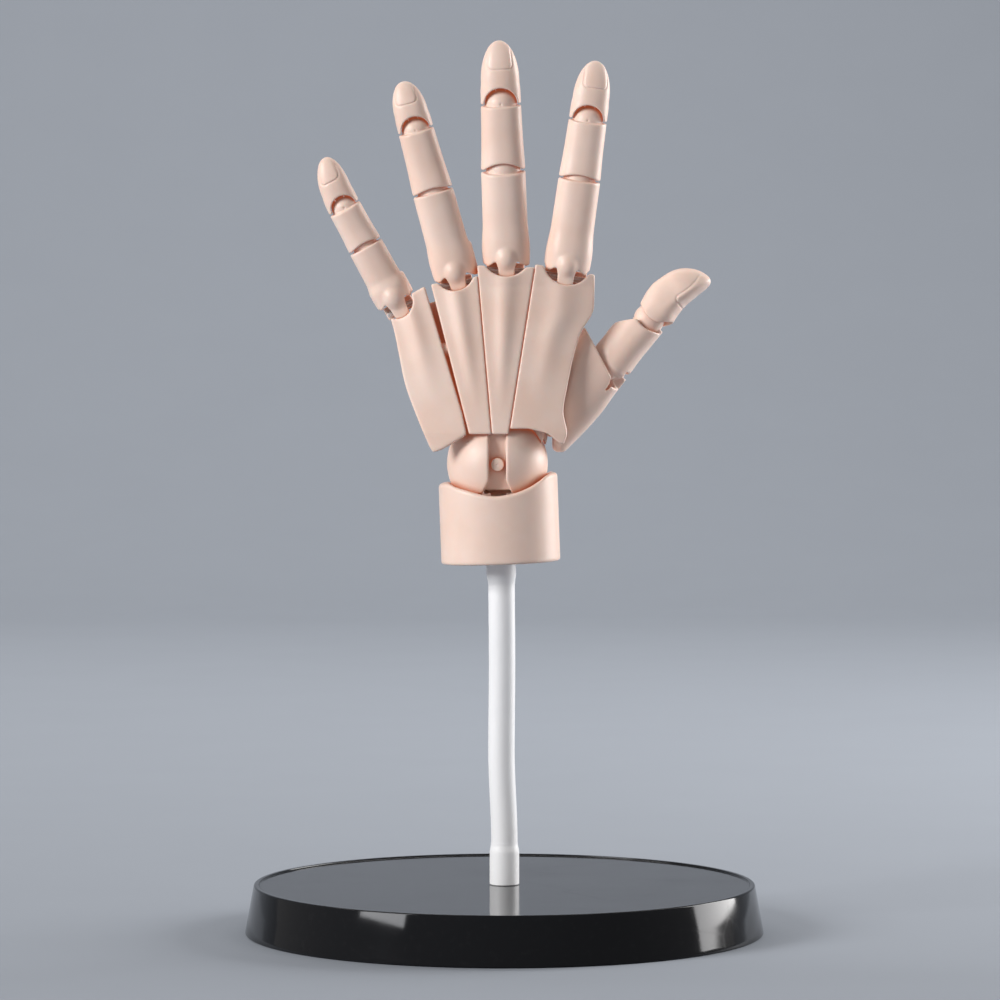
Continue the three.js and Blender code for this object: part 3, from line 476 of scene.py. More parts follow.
class Nodes:
    """Short hand for building a material's node tree."""

    def __init__(self, name: str) -> None:
        """Starts an empty material with a principled surface.

        Args:
            name: Name of the material.
        """
        self.material = bpy.data.materials.new(name)
        self.material.use_nodes = True
        self.tree = self.material.node_tree
        self.surface = self.tree.nodes["Principled BSDF"]
        self.place = self.add("ShaderNodeTexCoord").outputs["Object"]

    def add(self, kind: str, **settings: object) -> bpy.types.Node:
        """A new node with its properties set.

        Args:
            kind: Type of the node.
            **settings: Its properties by name.

        Returns:
            The node.
        """
        node = self.tree.nodes.new(kind)
        for key, value in settings.items():
            setattr(node, key, value)
        return node

    def set(self, node: bpy.types.Node, values: dict[str, object]) -> None:
        """Gives a node's inputs their values, by name."""
        for key, value in values.items():
            node.inputs[key].default_value = value

    def link(self, source: Socket, target: Socket) -> None:
        """Joins two sockets."""
        self.tree.links.new(source, target)

    def feed(self, source: Socket, name: str) -> None:
        """Leads a socket into an input of the surface."""
        self.link(source, self.surface.inputs[name])

    def stretched(self, scale: Triple, turn: float = 0) -> Socket:
        """Places scaled along each axis and turned about z.

        Args:
            scale: Scale of each axis.
            turn: Turn about z, radians.

        Returns:
            The places.
        """
        node = self.add("ShaderNodeMapping")
        self.set(node, {"Scale": scale, "Rotation": (0, 0, turn)})
        self.link(self.place, node.inputs["Vector"])
        return node.outputs["Vector"]

    def noise(self, grain: Grain) -> Socket:
        """Noise in the piece's own metres.

        Args:
            grain: Sizes of the noise.

        Returns:
            The noise value, about 0 to 1.
        """
        node = self.add("ShaderNodeTexNoise")
        self.set(node, {"Scale": grain.scale, "Detail": grain.detail})
        source = self.stretched(grain.stretch) if grain.stretch else self.place
        self.link(source, node.inputs["Vector"])
        return node.outputs["Fac"]

    def ramped(self, value: Socket, span: Pair, result: Pair) -> Socket:
        """A value carried from one range to another, held at the ends.

        Args:
            value: Socket that is read.
            span: Values that give the two results.
            result: Results at both ends.

        Returns:
            The result.
        """
        node = self.add("ShaderNodeMapRange")
        self.set(node, dict(zip(("From Min", "From Max", "To Min", "To Max"), (*span, *result))))
        self.link(value, node.inputs["Value"])
        return node.outputs["Result"]

    def spread(self, grain: Grain, result: Pair = (0, 1)) -> Socket:
        """Noise whose used span is carried to another range."""
        return self.ramped(self.noise(grain), grain.span, result)

    def mixed(self, share: Socket, first: object, second: object) -> Socket:
        """Colour between two, each a socket or three linear values.

        Args:
            share: Share of the second colour.
            first: Colour at share 0.
            second: Colour at share 1.

        Returns:
            The mixed colour.
        """
        node = self.add("ShaderNodeMix", data_type="RGBA")
        self.link(share, node.inputs["Factor"])
        for socket, colour in ((node.inputs[6], first), (node.inputs[7], second)):
            if isinstance(colour, Socket):
                self.link(colour, socket)
            else:
                socket.default_value = (*colour, 1.0)
        return node.outputs[2]

    def bump(self, height: Socket, strength: float, distance: float) -> None:
        """Fine relief of the surface.

        Args:
            height: Height socket.
            strength: Share of the relief that shows.
            distance: Height of the relief, metres.
        """
        node = self.add("ShaderNodeBump")
        self.set(node, {"Strength": strength, "Distance": distance})
        self.link(height, node.inputs["Height"])
        self.feed(node.outputs["Normal"], "Normal")


@dataclass(frozen=True)
class PinkMoulding:
    """Satin flesh-pink plastic, with painted warm shade and a painted glow where pieces meet."""

    colour: Triple = (0.85, 0.63, 0.53)
    pale: Triple = (0.885, 0.69, 0.60)
    # The colour below is painted shade: a dark orange that crevices and gaps are tinted towards.
    deep: Triple = (0.50, 0.17, 0.075)
    # The colour below is a painted glow that crevices give off by emission.
    painted_glow: Triple = (0.30, 0.08, 0.032)
    cloud: Grain = Grain(55, 4, (0.35, 0.65))
    # Reach, in metres, of the ambient occlusion that places the painted shade and the painted glow.
    painted_shade_reach: float = 0.0042
    painted_shade_span: Pair = (0.56, 0.08)
    painted_shade: Pair = (0, 0.9)
    painted_glow_span: Pair = (0.34, 0.02)
    painted_glow_strength: Pair = (0, 0.55)
    satin: Grain = Grain(900, 2)
    roughness: Pair = (0.36, 0.47)
    pores: Grain = Grain(2600, 2)
    relief: Pair = (0.12, 0.00012)
    slot: Slot = Slot.PINK

    def material(self) -> bpy.types.Material:
        """Builds the finish.

        Returns:
            The material.
        """
        n = Nodes("pink_moulding")
        tone = n.mixed(n.spread(self.cloud), self.colour, self.pale)
        # Painted shade: ambient occlusion tints crevices and gaps between pieces towards a dark orange.
        shut = n.add("ShaderNodeAmbientOcclusion", samples=8)
        n.set(shut, {"Distance": self.painted_shade_reach})
        painted_shade = n.ramped(shut.outputs["AO"], self.painted_shade_span, self.painted_shade)
        n.feed(n.mixed(painted_shade, tone, self.deep), "Base Color")
        # Painted glow: the same ambient occlusion makes crevices glow a little, though no lamp is there.
        n.feed(n.ramped(shut.outputs["AO"], self.painted_glow_span, self.painted_glow_strength), "Emission Strength")
        n.feed(n.spread(self.satin, self.roughness), "Roughness")
        n.set(n.surface, {
            "Emission Color": (*self.painted_glow, 1.0), "Subsurface Weight": 0.18,
            "Subsurface Radius": (1.0, 0.42, 0.26), "Subsurface Scale": 0.0018, "IOR": 1.46})
        n.bump(n.noise(self.pores), *self.relief)
        return n.material


@dataclass(frozen=True)
class DrawnSteel:
    """Bright drawn wire with fine lengthwise lines."""

    colour: Triple = (0.80, 0.77, 0.75)
    dull: Triple = (0.66, 0.63, 0.61)
    lines: Grain = Grain(700, 3, (0.35, 0.7), (0.15, 2.0, 2.0))
    rough_span: Pair = (0.3, 0.7)
    roughness: Pair = (0.22, 0.42)
    relief: Pair = (0.15, 0.00005)
    slot: Slot = Slot.STEEL

    def material(self) -> bpy.types.Material:
        """Builds the finish.

        Returns:
            The material.
        """
        n = Nodes("drawn_steel")
        line = n.noise(self.lines)
        n.feed(n.mixed(n.ramped(line, self.lines.span, (0, 1)), self.colour, self.dull), "Base Color")
        n.feed(n.ramped(line, self.rough_span, self.roughness), "Roughness")
        n.set(n.surface, {"Metallic": 0.45})
        n.bump(line, *self.relief)
        return n.material


@dataclass(frozen=True)
class WhiteSleeve:
    """Smooth white sleeve, a little greyer in patches."""

    colour: Triple = (0.91, 0.92, 0.945)
    grey: Triple = (0.83, 0.84, 0.865)
    patch: Grain = Grain(60, 5, (0.45, 0.8), (1.0, 1.0, 0.35))
    satin: Grain = Grain(500, 3)
    roughness: Pair = (0.38, 0.52)
    pores: Grain = Grain(1500, 2)
    relief: Pair = (0.08, 0.0001)
    slot: Slot = Slot.WHITE

    def material(self) -> bpy.types.Material:
        """Builds the finish.

        Returns:
            The material.
        """
        n = Nodes("white_sleeve")
        n.feed(n.mixed(n.spread(self.patch), self.colour, self.grey), "Base Color")
        n.feed(n.spread(self.satin, self.roughness), "Roughness")
        n.set(n.surface, {
            "Subsurface Weight": 0.08, "Subsurface Radius": (1.0, 0.95, 0.9), "Subsurface Scale": 0.0015})
        n.bump(n.noise(self.pores), *self.relief)
        return n.material


@dataclass(frozen=True)
class BlackGloss:
    """Polished black moulding with smudges and hairline scratches."""

    colour: Triple = (0.0085, 0.009, 0.0105)
    dusty: Triple = (0.0115, 0.012, 0.0135)
    sheen: Triple = (0.36, 0.37, 0.39)
    dust: Grain = Grain(420, 4, (0.55, 0.8))
    smudge: Grain = Grain(26, 6, (0.35, 0.75))
    roughness: Pair = (0.055, 0.15)
    hairs: float = 34
    hair_stretch: Triple = (0.22, 1.0, 1.0)
    hair_turn: float = 0.6
    hair_width: float = 0.012
    scratch: float = 0.05
    waves: Grain = Grain(18, 2)
    relief: Pair = (0.03, 0.0006)
    slot: Slot = Slot.BLACK

    def material(self) -> bpy.types.Material:
        """Builds the finish.

        Returns:
            The material.
        """
        n = Nodes("black_gloss")
        hairs = n.add("ShaderNodeTexVoronoi", feature="DISTANCE_TO_EDGE")
        n.set(hairs, {"Scale": self.hairs})
        n.link(n.stretched(self.hair_stretch, self.hair_turn), hairs.inputs["Vector"])
        line = n.ramped(hairs.outputs["Distance"], (0, self.hair_width), (self.scratch, 0))
        n.feed(n.mixed(n.spread(self.dust), self.colour, self.dusty), "Base Color")
        added = n.add("ShaderNodeMath", operation="ADD")
        n.link(n.spread(self.smudge, self.roughness), added.inputs[0])
        n.link(line, added.inputs[1])
        n.feed(added.outputs["Value"], "Roughness")
        n.set(n.surface, {"IOR": 1.45, "Specular Tint": (*self.sheen, 1.0)})
        n.bump(n.noise(self.waves), *self.relief)
        return n.material


@dataclass(frozen=True)
class StudioPaper:
    """Pale grey paper of the floor and backdrop."""

    colour: Triple = (0.302, 0.329, 0.373)
    fleck: Triple = (0.291, 0.317, 0.36)
    flecks: Grain = Grain(14, 3)

    def material(self) -> bpy.types.Material:
        """Builds the finish.

        Returns:
            The material.
        """
        n = Nodes("studio_paper")
        n.feed(n.mixed(n.noise(self.flecks), self.colour, self.fleck), "Base Color")
        n.set(n.surface, {"Roughness": 0.7, "Specular IOR Level": 0.2})
        return n.material


Finish = PinkMoulding | DrawnSteel | WhiteSleeve | BlackGloss | StudioPaper


class Workshop:
    """Holds the made finishes and sets each piece on its body."""

    def __init__(self) -> None:
        """Starts with no finish made."""
        self.made: dict[Finish, bpy.types.Material] = {}
        self.replaced: set[str] = set()

    def paint(self, finish: Finish) -> bpy.types.Material:
        """The material of a finish, made once.

        Args:
            finish: Finish that is asked for.

        Returns:
            Its material.
        """
        if finish not in self.made:
            self.made[finish] = finish.material()
        return self.made[finish]

    def stand(self, mesh: Mesh, finish: Finish) -> bpy.types.Object:
        """Sets a mesh with its finish in the scene.

        Args:
            mesh: Mesh in metres of the row frame.
            finish: Finish of the mesh.

        Returns:
            The object, named as the mesh.
        """
        mesh.materials.append(self.paint(finish))
        item = bpy.data.objects.new(mesh.name, mesh)
        bpy.context.scene.collection.objects.link(item)
        return item

    def piece(self, mesh: Mesh, finish: Finish, nodes: tuple[str, ...]) -> bpy.types.Object:
        """Turns a mesh into a piece that stands for CAD nodes.

        Args:
            mesh: Mesh in metres of the row frame.
            finish: Finish of the piece.
            nodes: CAD nodes that it replaces.

        Returns:
            The object, on no body yet.
        """
        item = self.stand(mesh, finish)
        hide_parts(*nodes)
        self.replaced.update(nodes)
        LOG.info("%s: %d faces", mesh.name, len(mesh.polygons))
        return item

    def fix(self, mesh: Mesh, finish: Finish, body: str, *nodes: str) -> None:
        """Sets a piece that stands for CAD nodes on the body that it rides on."""
        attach(self.piece(mesh, finish, nodes), body)

    def dress_frame(self) -> None:
        """Gives every CAD node that still shows its finish."""
        for name, node in frame["nodes"].items():
            if name in self.replaced:
                continue
            finish = PinkMoulding()
            if "_pin" in name:
                finish = DrawnSteel()
            elif name.startswith("base_"):
                finish = BlackGloss()
            if not node.material_slots:
                node.data.materials.append(self.paint(finish))
            for slot in node.material_slots:
                slot.material = self.paint(finish)
            LOG.info("%s keeps its solid", name)


@dataclass(frozen=True)
class Tang:
    """Tongue that carries a segment on its pin, mm."""

    half: float
    front: float
    back: float
    eye: float


@dataclass(frozen=True)
class JointForm:
    """Sizes that all finger joints share, mm and degrees."""

    cheek: float = 1.9
    socket_gap: float = 0.4
    rim_drop: float = 0.35
    end_rim_drop: float = 0.15
    foot_rise: float = 0.25
    tang: Tang = Tang(2.0, 2.2, 2.2, 2.6)
    end_tang: Tang = Tang(1.6, 1.2, 2.2, 1.6)
    slot_gap: float = 0.4
    head_fall: float = 45
    depth: float = 0.92
    fillet: float = 0.7
    crisp: float = 0.35
    end_dome: float = 0.45
    end_wall: float = 1.25
    dot: float = 0.42
    dot_rise: float = 0.3
    arch_inset: float = 1.2
    arch_end: float = -2
    end_arch_end: float = -1
    tang_root: float = 1.5
    ball_blend: float = 0.25
    lean_reach: float = 6
    spare: float = 1.2
    low: float = -3.4

    def middle_arch(self, room: Room, half: float, height: float) -> Field:
        """Low arch of a given height over a middle joint.

        Args:
            room: Points about the joint.
            half: Half width at the joint.
            height: Height of the arch.

        Returns:
            The field of the arch.
        """
        chord = half - self.arch_inset
        radius = (chord ** 2 + height ** 2) / (2 * height)
        return room.moved(0, 0, self.foot_rise + height - radius).bar_y(radius, high=self.arch_end)

    def end_arch(self, room: Room, half: float) -> Field:
        """Round arch over an end joint."""
        return room.bar_y(half - self.end_wall, high=self.end_arch_end)

    def with_foot(self, room: Room, body: Field, half: float, arch: Field, proud: float, tang: Tang,
                  back_slope: float = 0, slope: float = FOOT_SLOPE) -> Field:
        """Opens the lower end of a segment over the ball below it.

        Args:
            room: Points about the joint.
            body: Field of the segment.
            half: Half width at the joint.
            arch: Field of the arch on the back of the finger.
            proud: How much larger than its solid the ball below is.
            tang: Tongue that reaches into the ball.
            back_slope: Relief on the back of the finger, degrees.
            slope: Relief on the palm side, degrees.

        Returns:
            The field with socket, relief and tang.
        """
        radius = half - self.cheek
        shape = meet(body, self.foot_rise - room.z, self.fillet)
        shape = meet(shape, room.above(self.foot_rise, -slope), self.fillet)
        if back_slope:
            shape = meet(shape, room.above(self.foot_rise, back_slope), self.fillet)
        shape = cut(shape, arch, self.fillet)
        shape = cut(shape, room.ball(radius + self.socket_gap + proud), self.crisp)
        tongue = room.soft_box(tang.half, (-tang.front, tang.back), (0, radius + self.tang_root), self.crisp)
        tongue = np.minimum(tongue, room.bar_x(tang.eye, -tang.half, tang.half))
        return np.minimum(shape, tongue)

    def with_head(self, room: Room, body: Field, half: float, proud: float, tang: Tang, drop: float,
                  dip: float = 0, lean: float = 0) -> Field:
        """Ends a segment in a slotted ball.

        Args:
            room: Points about the joint.
            body: Field of the segment.
            half: Half width at the joint.
            proud: How much larger than its solid the ball is.
            tang: Tongue that the ball makes room for.
            drop: How far the rim lies below the pin.
            dip: Fall of the rim towards the back of the finger, degrees.
            lean: Further room for the tang towards the back, degrees.

        Returns:
            The field with its ball.
        """
        slot = tang.half + self.slot_gap
        low = tang.eye + self.slot_gap
        deep = max(tang.eye, tang.front) + self.slot_gap
        shape = meet(body, room.z - room.y * math.tan(math.radians(dip)) + drop, self.fillet)
        shape = meet(shape, -room.above(-drop, self.head_fall), self.fillet)
        shape = melt(shape, room.ball(half - self.cheek + proud), self.ball_blend)
        shape = cut(shape, room.box((-slot, slot), (-deep, FAR), (-low, FAR)), self.crisp)
        if lean:
            back = room.bent(-lean).box((-slot, slot), (-deep, self.lean_reach), (0, FAR))
            shape = cut(shape, back, self.crisp)
        return shape


FORM = JointForm()


@dataclass(frozen=True)
class Fingertip:
    """Sizes of a fingertip with its nail, mm and degrees."""

    length: float
    half: float
    tip: float
    nail_turn: float
    back_slope: float = 0
    levels: tuple[Level, ...] = ()
    tang: Tang = FORM.end_tang
    proud: float = FORM.end_dome
    foot_slope: float = FOOT_SLOPE
    sway: float = 0
    sway_power: float = 1.6
    taper_share: float = 0.63
    taper: float = 0.5
    nail_width: float = 0.65
    nail_start: float = 0.555
    nail_end: float = 1.04
    nail_corner: float = 1.7
    nail_narrow: float = 0.16
    nail_side: Pair = (0.2, 1.4)
    nail_edge: float = 0.5
    groove: float = 0.24
    groove_width: float = 0.26
    nail_rise: float = 0.14
    step: float = 0.26

    def sections(self) -> Sequence[Level]:
        """Sections (z, half width, back depth, pad depth) before the tip tapers off.

        Returns:
            The sections from the lowest to the highest.
        """
        if self.levels:
            return self.levels
        start = self.length * (1 - self.taper_share)
        pad = self.tip * FORM.depth
        root = self.half * FORM.depth
        return [
            (FORM.foot_rise, self.half, root, root),
            (start * 0.6, (self.half + self.tip) / 2 + 0.1, pad * 0.98, pad * 1.04),
            (start, self.tip, pad * 0.95, pad * 1.08),
            (self.length, self.tip, pad * 0.8, pad * 1.08),
        ]

    def carve(self, name: str, axes: Axes) -> Mesh:
        """Carves the fingertip in its own axes.

        Args:
            name: Name of the mesh.
            axes: Axes at the end joint, z along the fingertip.

        Returns:
            The mesh.
        """
        z, *sides = zip(*self.sections())
        wide = self.half + FORM.spare
        deep = max(max(sides[2]), self.half) + FORM.spare
        high = (wide + self.sway, deep, self.length + 1)
        block = Block(axes, (-wide, -wide, FORM.low), high, self.step)
        room = block.room
        way = (np.maximum(room.z, 0) / self.length) ** self.sway_power
        swayed = Room(room.x - self.sway * way, room.y, room.z)
        half, front, back = (eased(room.z, z, values) for values in sides)
        start = self.length * (1 - self.taper_share)
        share = np.clip((room.z - start) / (self.length - start), 0, 1.2)
        body = swayed.oval(half, front, back, SQUARE) ** (1 / self.taper) + share ** 2 - 1
        body = block.even(block.even(body))
        body = self.with_nail(swayed, body)
        arch = FORM.end_arch(room, self.half)
        shape = FORM.with_foot(room, body, self.half, arch, self.proud, self.tang, self.back_slope,
                               self.foot_slope)
        return block.mesh(name, shape)

    def with_nail(self, room: Room, body: Field) -> Field:
        """Raises the nail inside a fine groove.

        Args:
            room: Points about the end joint.
            body: Field of the fingertip.

        Returns:
            The field with its nail.
        """
        side = room.turned(self.nail_turn)
        low, high = self.length * self.nail_start, self.length * self.nail_end
        narrow = 1 - self.nail_narrow * ramp(room.z, low, high)
        half = self.tip * self.nail_width
        mid, tall = (low + high) / 2, (high - low) / 2
        dx = np.abs(side.x) / narrow - half + self.nail_corner
        dz = np.abs(room.z - mid) - tall + self.nail_corner
        edge = np.hypot(np.maximum(dx, 0), np.maximum(dz, 0)) + np.minimum(np.maximum(dx, dz), 0)
        edge = edge - self.nail_corner
        on_back = ramp(-side.y, *self.nail_side)
        groove = self.groove * np.exp(-(edge / self.groove_width) ** 2)
        rise = self.nail_rise * ramp(-edge, 0, self.nail_edge)
        return body + (groove - rise) * on_back


@dataclass(frozen=True)
class Segment:
    """Sizes of a finger's second segment, mm and degrees."""

    length: float
    half: float
    next_half: float
    arch: float
    dip: float
    step: float = 0.34

    def carve(self, name: str, axes: Axes) -> Mesh:
        """Carves the segment in its own axes.

        Args:
            name: Name of the mesh.
            axes: Axes at the lower joint, z along the segment.

        Returns:
            The mesh.
        """
        wide = self.half + FORM.spare
        block = Block(axes, (-wide, -wide, FORM.low), (wide, wide, self.length + self.next_half), self.step)
        room = block.room
        d = FORM.depth
        body = block.even(room.stem([
            (FORM.foot_rise, self.half, self.half * d, self.half * d),
            (self.length * 0.5, (self.half + self.next_half) / 2 - 0.15, self.next_half * d,
             self.next_half * d * 1.06),
            (self.length - FORM.rim_drop, self.next_half, self.next_half * d, self.next_half * d),
        ]))
        arch = FORM.middle_arch(room, self.half, self.arch)
        shape = FORM.with_foot(room, body, self.half, arch, 0, FORM.tang)
        top = room.moved(0, 0, self.length)
        shape = FORM.with_head(top, shape, self.next_half, FORM.end_dome, FORM.end_tang, FORM.end_rim_drop,
                               self.dip)
        dimple = top.moved(0, FORM.cheek - self.next_half - FORM.end_dome, FORM.dot_rise).ball(FORM.dot)
        return block.mesh(name, cut(shape, dimple, 0.1))


@dataclass(frozen=True)
class KnuckleForm:
    """Sizes that the four knuckles share, mm and degrees."""

    rise: float = 7
    half: float = 2.5
    solid_half: float = 2.4
    front: float = 4.4
    back: float = 3
    eye: float = 3.6
    head: float = 3.4
    pin: float = 1.2
    pin_room: float = 1.1
    pin_fit: float = 0.15
    peg: float = 1.6
    peg_bore: float = 1.9
    peg_spare: float = 1
    gap: float = 0.4
    swing: float = 11
    skirt: float = 2.2
    skirt_slope: float = 47
    skirt_gap: float = 0.45
    skirt_relief: float = 0.16
    skirt_half: float = 5
    full_at: float = 9
    bulb: Triple = (3.9, 3.4, 4.5)
    bulb_proud: float = 1.7
    bulb_z: float = 5.3
    bulb_blend: float = 1.1
    lobe: Four = (2.4, 3.4, 4, 3.7)
    lobe_edges: Triple = (1.4, 1.6, 0.5)
    window_foot: float = 2.8
    window_x: float = 3.4
    window_z: float = 4.8
    window_fall: float = 0.72
    window_back: float = 0.6
    window_edges: Triple = (0.8, 0.4, 0.5)
    scoop_inset: float = 1.9
    scoop_blend: float = 0.9
    wing_inset: float = 2.4
    wing: Four = (1.6, 3.4, -2.3, 2.8)
    cavity: float = 4.5
    mouth_cheek: float = 2
    mouth_fall: float = 46
    mouth_low: float = -2.4
    mouth_back: float = 1.6
    mouth_slot: Triple = (0.5, -6, 0.9)
    mouth_blend: float = 0.9
    step: float = 0.32
    segment_step: float = 0.36


KNUCKLE = KnuckleForm()


@dataclass(frozen=True)
class Finger:
    """One finger from its knuckle to its tip, sizes in mm and degrees."""

    name: FingerName
    base: float
    middle_joint: float
    end_joint: float
    tip: float
    distal: float
    column: float
    horn: float
    scoop: float
    nail_turn: float
    arch: float
    dip: float
    pin_inset: float = 2.2
    end_dip: float = 5
    sway: float = 0
    lobe: float = 0

    def node(self, piece: str) -> str:
        """Name of a node or body of this finger."""
        return f"{self.name.value}_{piece}"

    def pin_axes(self) -> Axes:
        """Axes of the knuckle pin, z towards the spread peg."""
        curl, spread = place_of(self.node("curl")), place_of(self.node("spread"))
        return Axes.on(curl, -axis_of(self.node("curl")), spread - curl)

    def proximal_axes(self) -> tuple[Axes, float]:
        """Axes of the first segment at its knuckle, and its length.

        Returns:
            The axes and the length, mm.
        """
        spread, middle = place_of(self.node("spread")), place_of(self.node("middle_joint"))
        reach = middle - spread
        long = float(np.linalg.norm(reach))
        axes = Axes.on(spread - reach / long * KNUCKLE.rise, -axis_of(self.node("middle_joint")), reach)
        return axes, long + KNUCKLE.rise

    def middle_axes(self) -> tuple[Axes, float]:
        """Axes of the second segment, and its length.

        Returns:
            The axes and the length, mm.
        """
        middle, end = place_of(self.node("middle_joint")), place_of(self.node("end_joint"))
        axes = Axes.on(middle, -axis_of(self.node("end_joint")), end - middle)
        return axes, float(np.linalg.norm(end - middle))

    def knuckle(self) -> Mesh:
        """Carves the knuckle block.

        Returns:
            The mesh.
        """
        k = KNUCKLE
        wing = self.column - k.wing_inset
        block = Block(self.pin_axes(), (-wing - 1, -6, -5), (wing + 1, 5, 12), k.step)
        room = block.room
        top = room.moved(0, 0, k.rise)
        tall = room.soft_box(k.half, (-k.front, k.back), (0, k.rise), FORM.fillet)
        head = meet(top.bar_y(k.head), outside(room.y, -k.front, k.back), FORM.fillet)
        eye = meet(np.hypot(room.y, room.z) - k.eye, np.abs(room.x) - k.half, FORM.fillet)
        shape = melt(melt(tall, head, 0.4), eye, 0.4)
        wings = room.soft_box(wing, k.wing[:2], k.wing[2:], FORM.fillet)
        shape = melt(shape, wings, 0.5)
        shape = cut(shape, room.bar_x(k.pin + k.pin_fit), FORM.crisp)
        return block.mesh(self.node("knuckle_block"), cut(shape, top.bar_y(k.peg_bore), FORM.crisp))

    def scoop_line(self, room: Room, gap: float) -> Field:
        """What lies above the scooped head of the palm plate.

        Args:
            room: Points about the knuckle pin.
            gap: Distance that is left above the plate.

        Returns:
            The field of the open side.
        """
        chord = self.column - KNUCKLE.scoop_inset
        sag = self.horn + self.scoop
        radius = (chord ** 2 + sag ** 2) / (2 * sag)
        bowl = room.moved(0, 0, radius - self.scoop + gap).bar_y(radius)
        return melt(self.horn + gap - room.z, bowl, KNUCKLE.scoop_blend)

    def proximal(self) -> Mesh:
        """Carves the first segment with its bulb and windows.

        Returns:
            The mesh.
        """
        k = KNUCKLE
        axes, long = self.proximal_axes()
        wide = self.base + 1.4
        high = (wide, wide, long + self.middle_joint)
        block = Block(axes, (-wide, -wide - 1.4, -3.2), high, k.segment_step)
        room = block.room
        d = FORM.depth
        deep = self.base * d
        next_deep = self.middle_joint * d
        body = block.even(room.stem([
            (k.skirt, self.base * 0.97, deep * 0.98, deep),
            (k.full_at, self.base, deep, deep * 1.04),
            (long * 0.5, (self.base + self.middle_joint) / 2 - 0.25, next_deep, next_deep * 1.1),
            (long - FORM.rim_drop, self.middle_joint, next_deep, next_deep),
        ]))
        a, b, c = k.bulb
        bulb = room.moved(0, -deep - k.bulb_proud + b, k.bulb_z)
        round_share = np.sqrt((bulb.x / a) ** 2 + (bulb.y / b) ** 2 + (bulb.z / c) ** 2)
        pin = self.pin_axes()
        lean = math.degrees(math.atan2(float(axes.z @ pin.x), float(axes.z @ pin.z)))
        about_pin = room.moved(0, 0, k.rise).leaned(-lean).moved(0, 0, -k.rise)
        if self.lobe:
            y, half, x, inset = k.lobe
            edge, top_edge, blend = k.lobe_edges
            lobe = meet(np.abs(room.y - y) - half, np.abs(room.x - x) - self.base + inset, edge)
            body = melt(body, meet(lobe, room.z - self.lobe, top_edge), blend)
        relief = k.skirt_relief * np.maximum(np.abs(about_pin.x) - k.skirt_half, 0)
        body = meet(body, self.scoop_line(about_pin, k.skirt_gap) + relief, FORM.fillet)
        inner = k.window_x + (k.window_x - k.window_foot) / (2 * k.window_z) * (room.z - k.window_z)
        outer = room.z - k.window_z + k.window_fall * (np.abs(room.x) - k.window_x)
        outer = outer / math.hypot(1, k.window_fall)
        side, back, rim = k.window_edges
        window = meet(meet(outer, inner - np.abs(room.x), side), room.y - k.window_back, back)
        body = cut(body, window, rim)
        body = melt(body, block.even((round_share - 1) * b), k.bulb_blend)
        body = meet(body, room.above(k.skirt, -k.skirt_slope), FORM.fillet)
        body = cut(body, self.pocket(room), FORM.crisp)
        body = cut(body, about_pin.bar_x(k.pin + k.pin_room), FORM.crisp)
        peg = room.moved(0, 0, k.rise).bar_y(k.peg, -k.front - k.peg_spare, k.back + k.peg_spare)
        body = np.minimum(body, peg)
        shape = FORM.with_head(room.moved(0, 0, long), body, self.middle_joint, 0, FORM.tang, FORM.rim_drop,
                               self.dip)
        return block.mesh(self.node("first_segment"), shape)

    def pocket(self, room: Room) -> Field:
        """Hollow where the knuckle swings inside the first segment.

        Args:
            room: Points about the knuckle pin, z along the segment.

        Returns:
            The field of the hollow.
        """
        k = KNUCKLE
        side = np.abs(room.x) - k.solid_half - k.gap
        side = side - np.maximum(k.rise - room.z, 0) * math.tan(math.radians(k.swing))
        deep = np.maximum(-k.front - k.gap - room.y, room.y - k.back - k.gap)
        low = np.maximum(np.maximum(side, room.z - k.rise), deep)
        return np.minimum(low, np.maximum(room.moved(0, 0, k.rise).bar_y(k.head + k.gap), deep))

    def mouth(self, room: Room) -> Field:
        """Opening for this knuckle at the head of its palm plate.

        Args:
            room: Points in the palm's axes.

        Returns:
            The field of what is taken away.
        """
        k = KNUCKLE
        pin = self.pin_axes()
        place = pin.origin - place_of("wrist_flex")
        lean = -math.degrees(math.asin(pin.x[2]))
        at = room.moved(*place).leaned(lean)
        palm_side = np.maximum(at.moved(0, 1, 0).above(k.mouth_low, k.mouth_fall), 1 - at.y)
        opening = melt(self.scoop_line(at, 0), palm_side, k.mouth_blend)
        step = np.maximum(k.mouth_back - at.y, k.mouth_low - at.z)
        opening = melt(opening, step, k.mouth_blend)
        reach = self.column - k.mouth_cheek
        opening = np.minimum(opening, at.bar_x(k.cavity, -reach, reach))
        side, front, under = k.mouth_slot
        slot = at.box((-k.half - side, k.half + side), (front, FAR), (-k.eye - under, FAR))
        return np.minimum(opening, slot)

    def pin(self) -> Mesh:
        """Turns the knuckle pin with rounded ends.

        Returns:
            The mesh.
        """
        pin = self.pin_axes()
        along = Axes.on(pin.origin, pin.y, pin.x)
        reach = self.column - self.pin_inset
        return lathe(self.node("hinge_pin"), pin_profile(KNUCKLE.pin, reach), along, 32)

    def build(self, shop: Workshop) -> None:
        """Makes the finger's pieces and sets them on their bodies.

        Args:
            shop: Workshop that takes the pieces.
        """
        skin = PinkMoulding()
        holder = "little_metacarpal" if self.name is FingerName.LITTLE else "palm"
        shop.fix(self.pin(), DrawnSteel(), holder, self.node("knuckle_pin"))
        axes, long = self.middle_axes()
        segment = Segment(long, self.middle_joint, self.end_joint, self.arch, self.end_dip)
        tip = Fingertip(self.distal, self.end_joint, self.tip, self.nail_turn, sway=self.sway)
        end = axes.bent(place_of(self.node("end_joint")), 0)
        for piece, mesh in (("knuckle", self.knuckle()), ("proximal", self.proximal()),
                            ("middle", segment.carve(self.node("second_segment"), axes)),
                            ("distal", tip.carve(self.node("fingertip"), end))):
            shop.fix(mesh, skin, self.node(piece), self.node(piece))


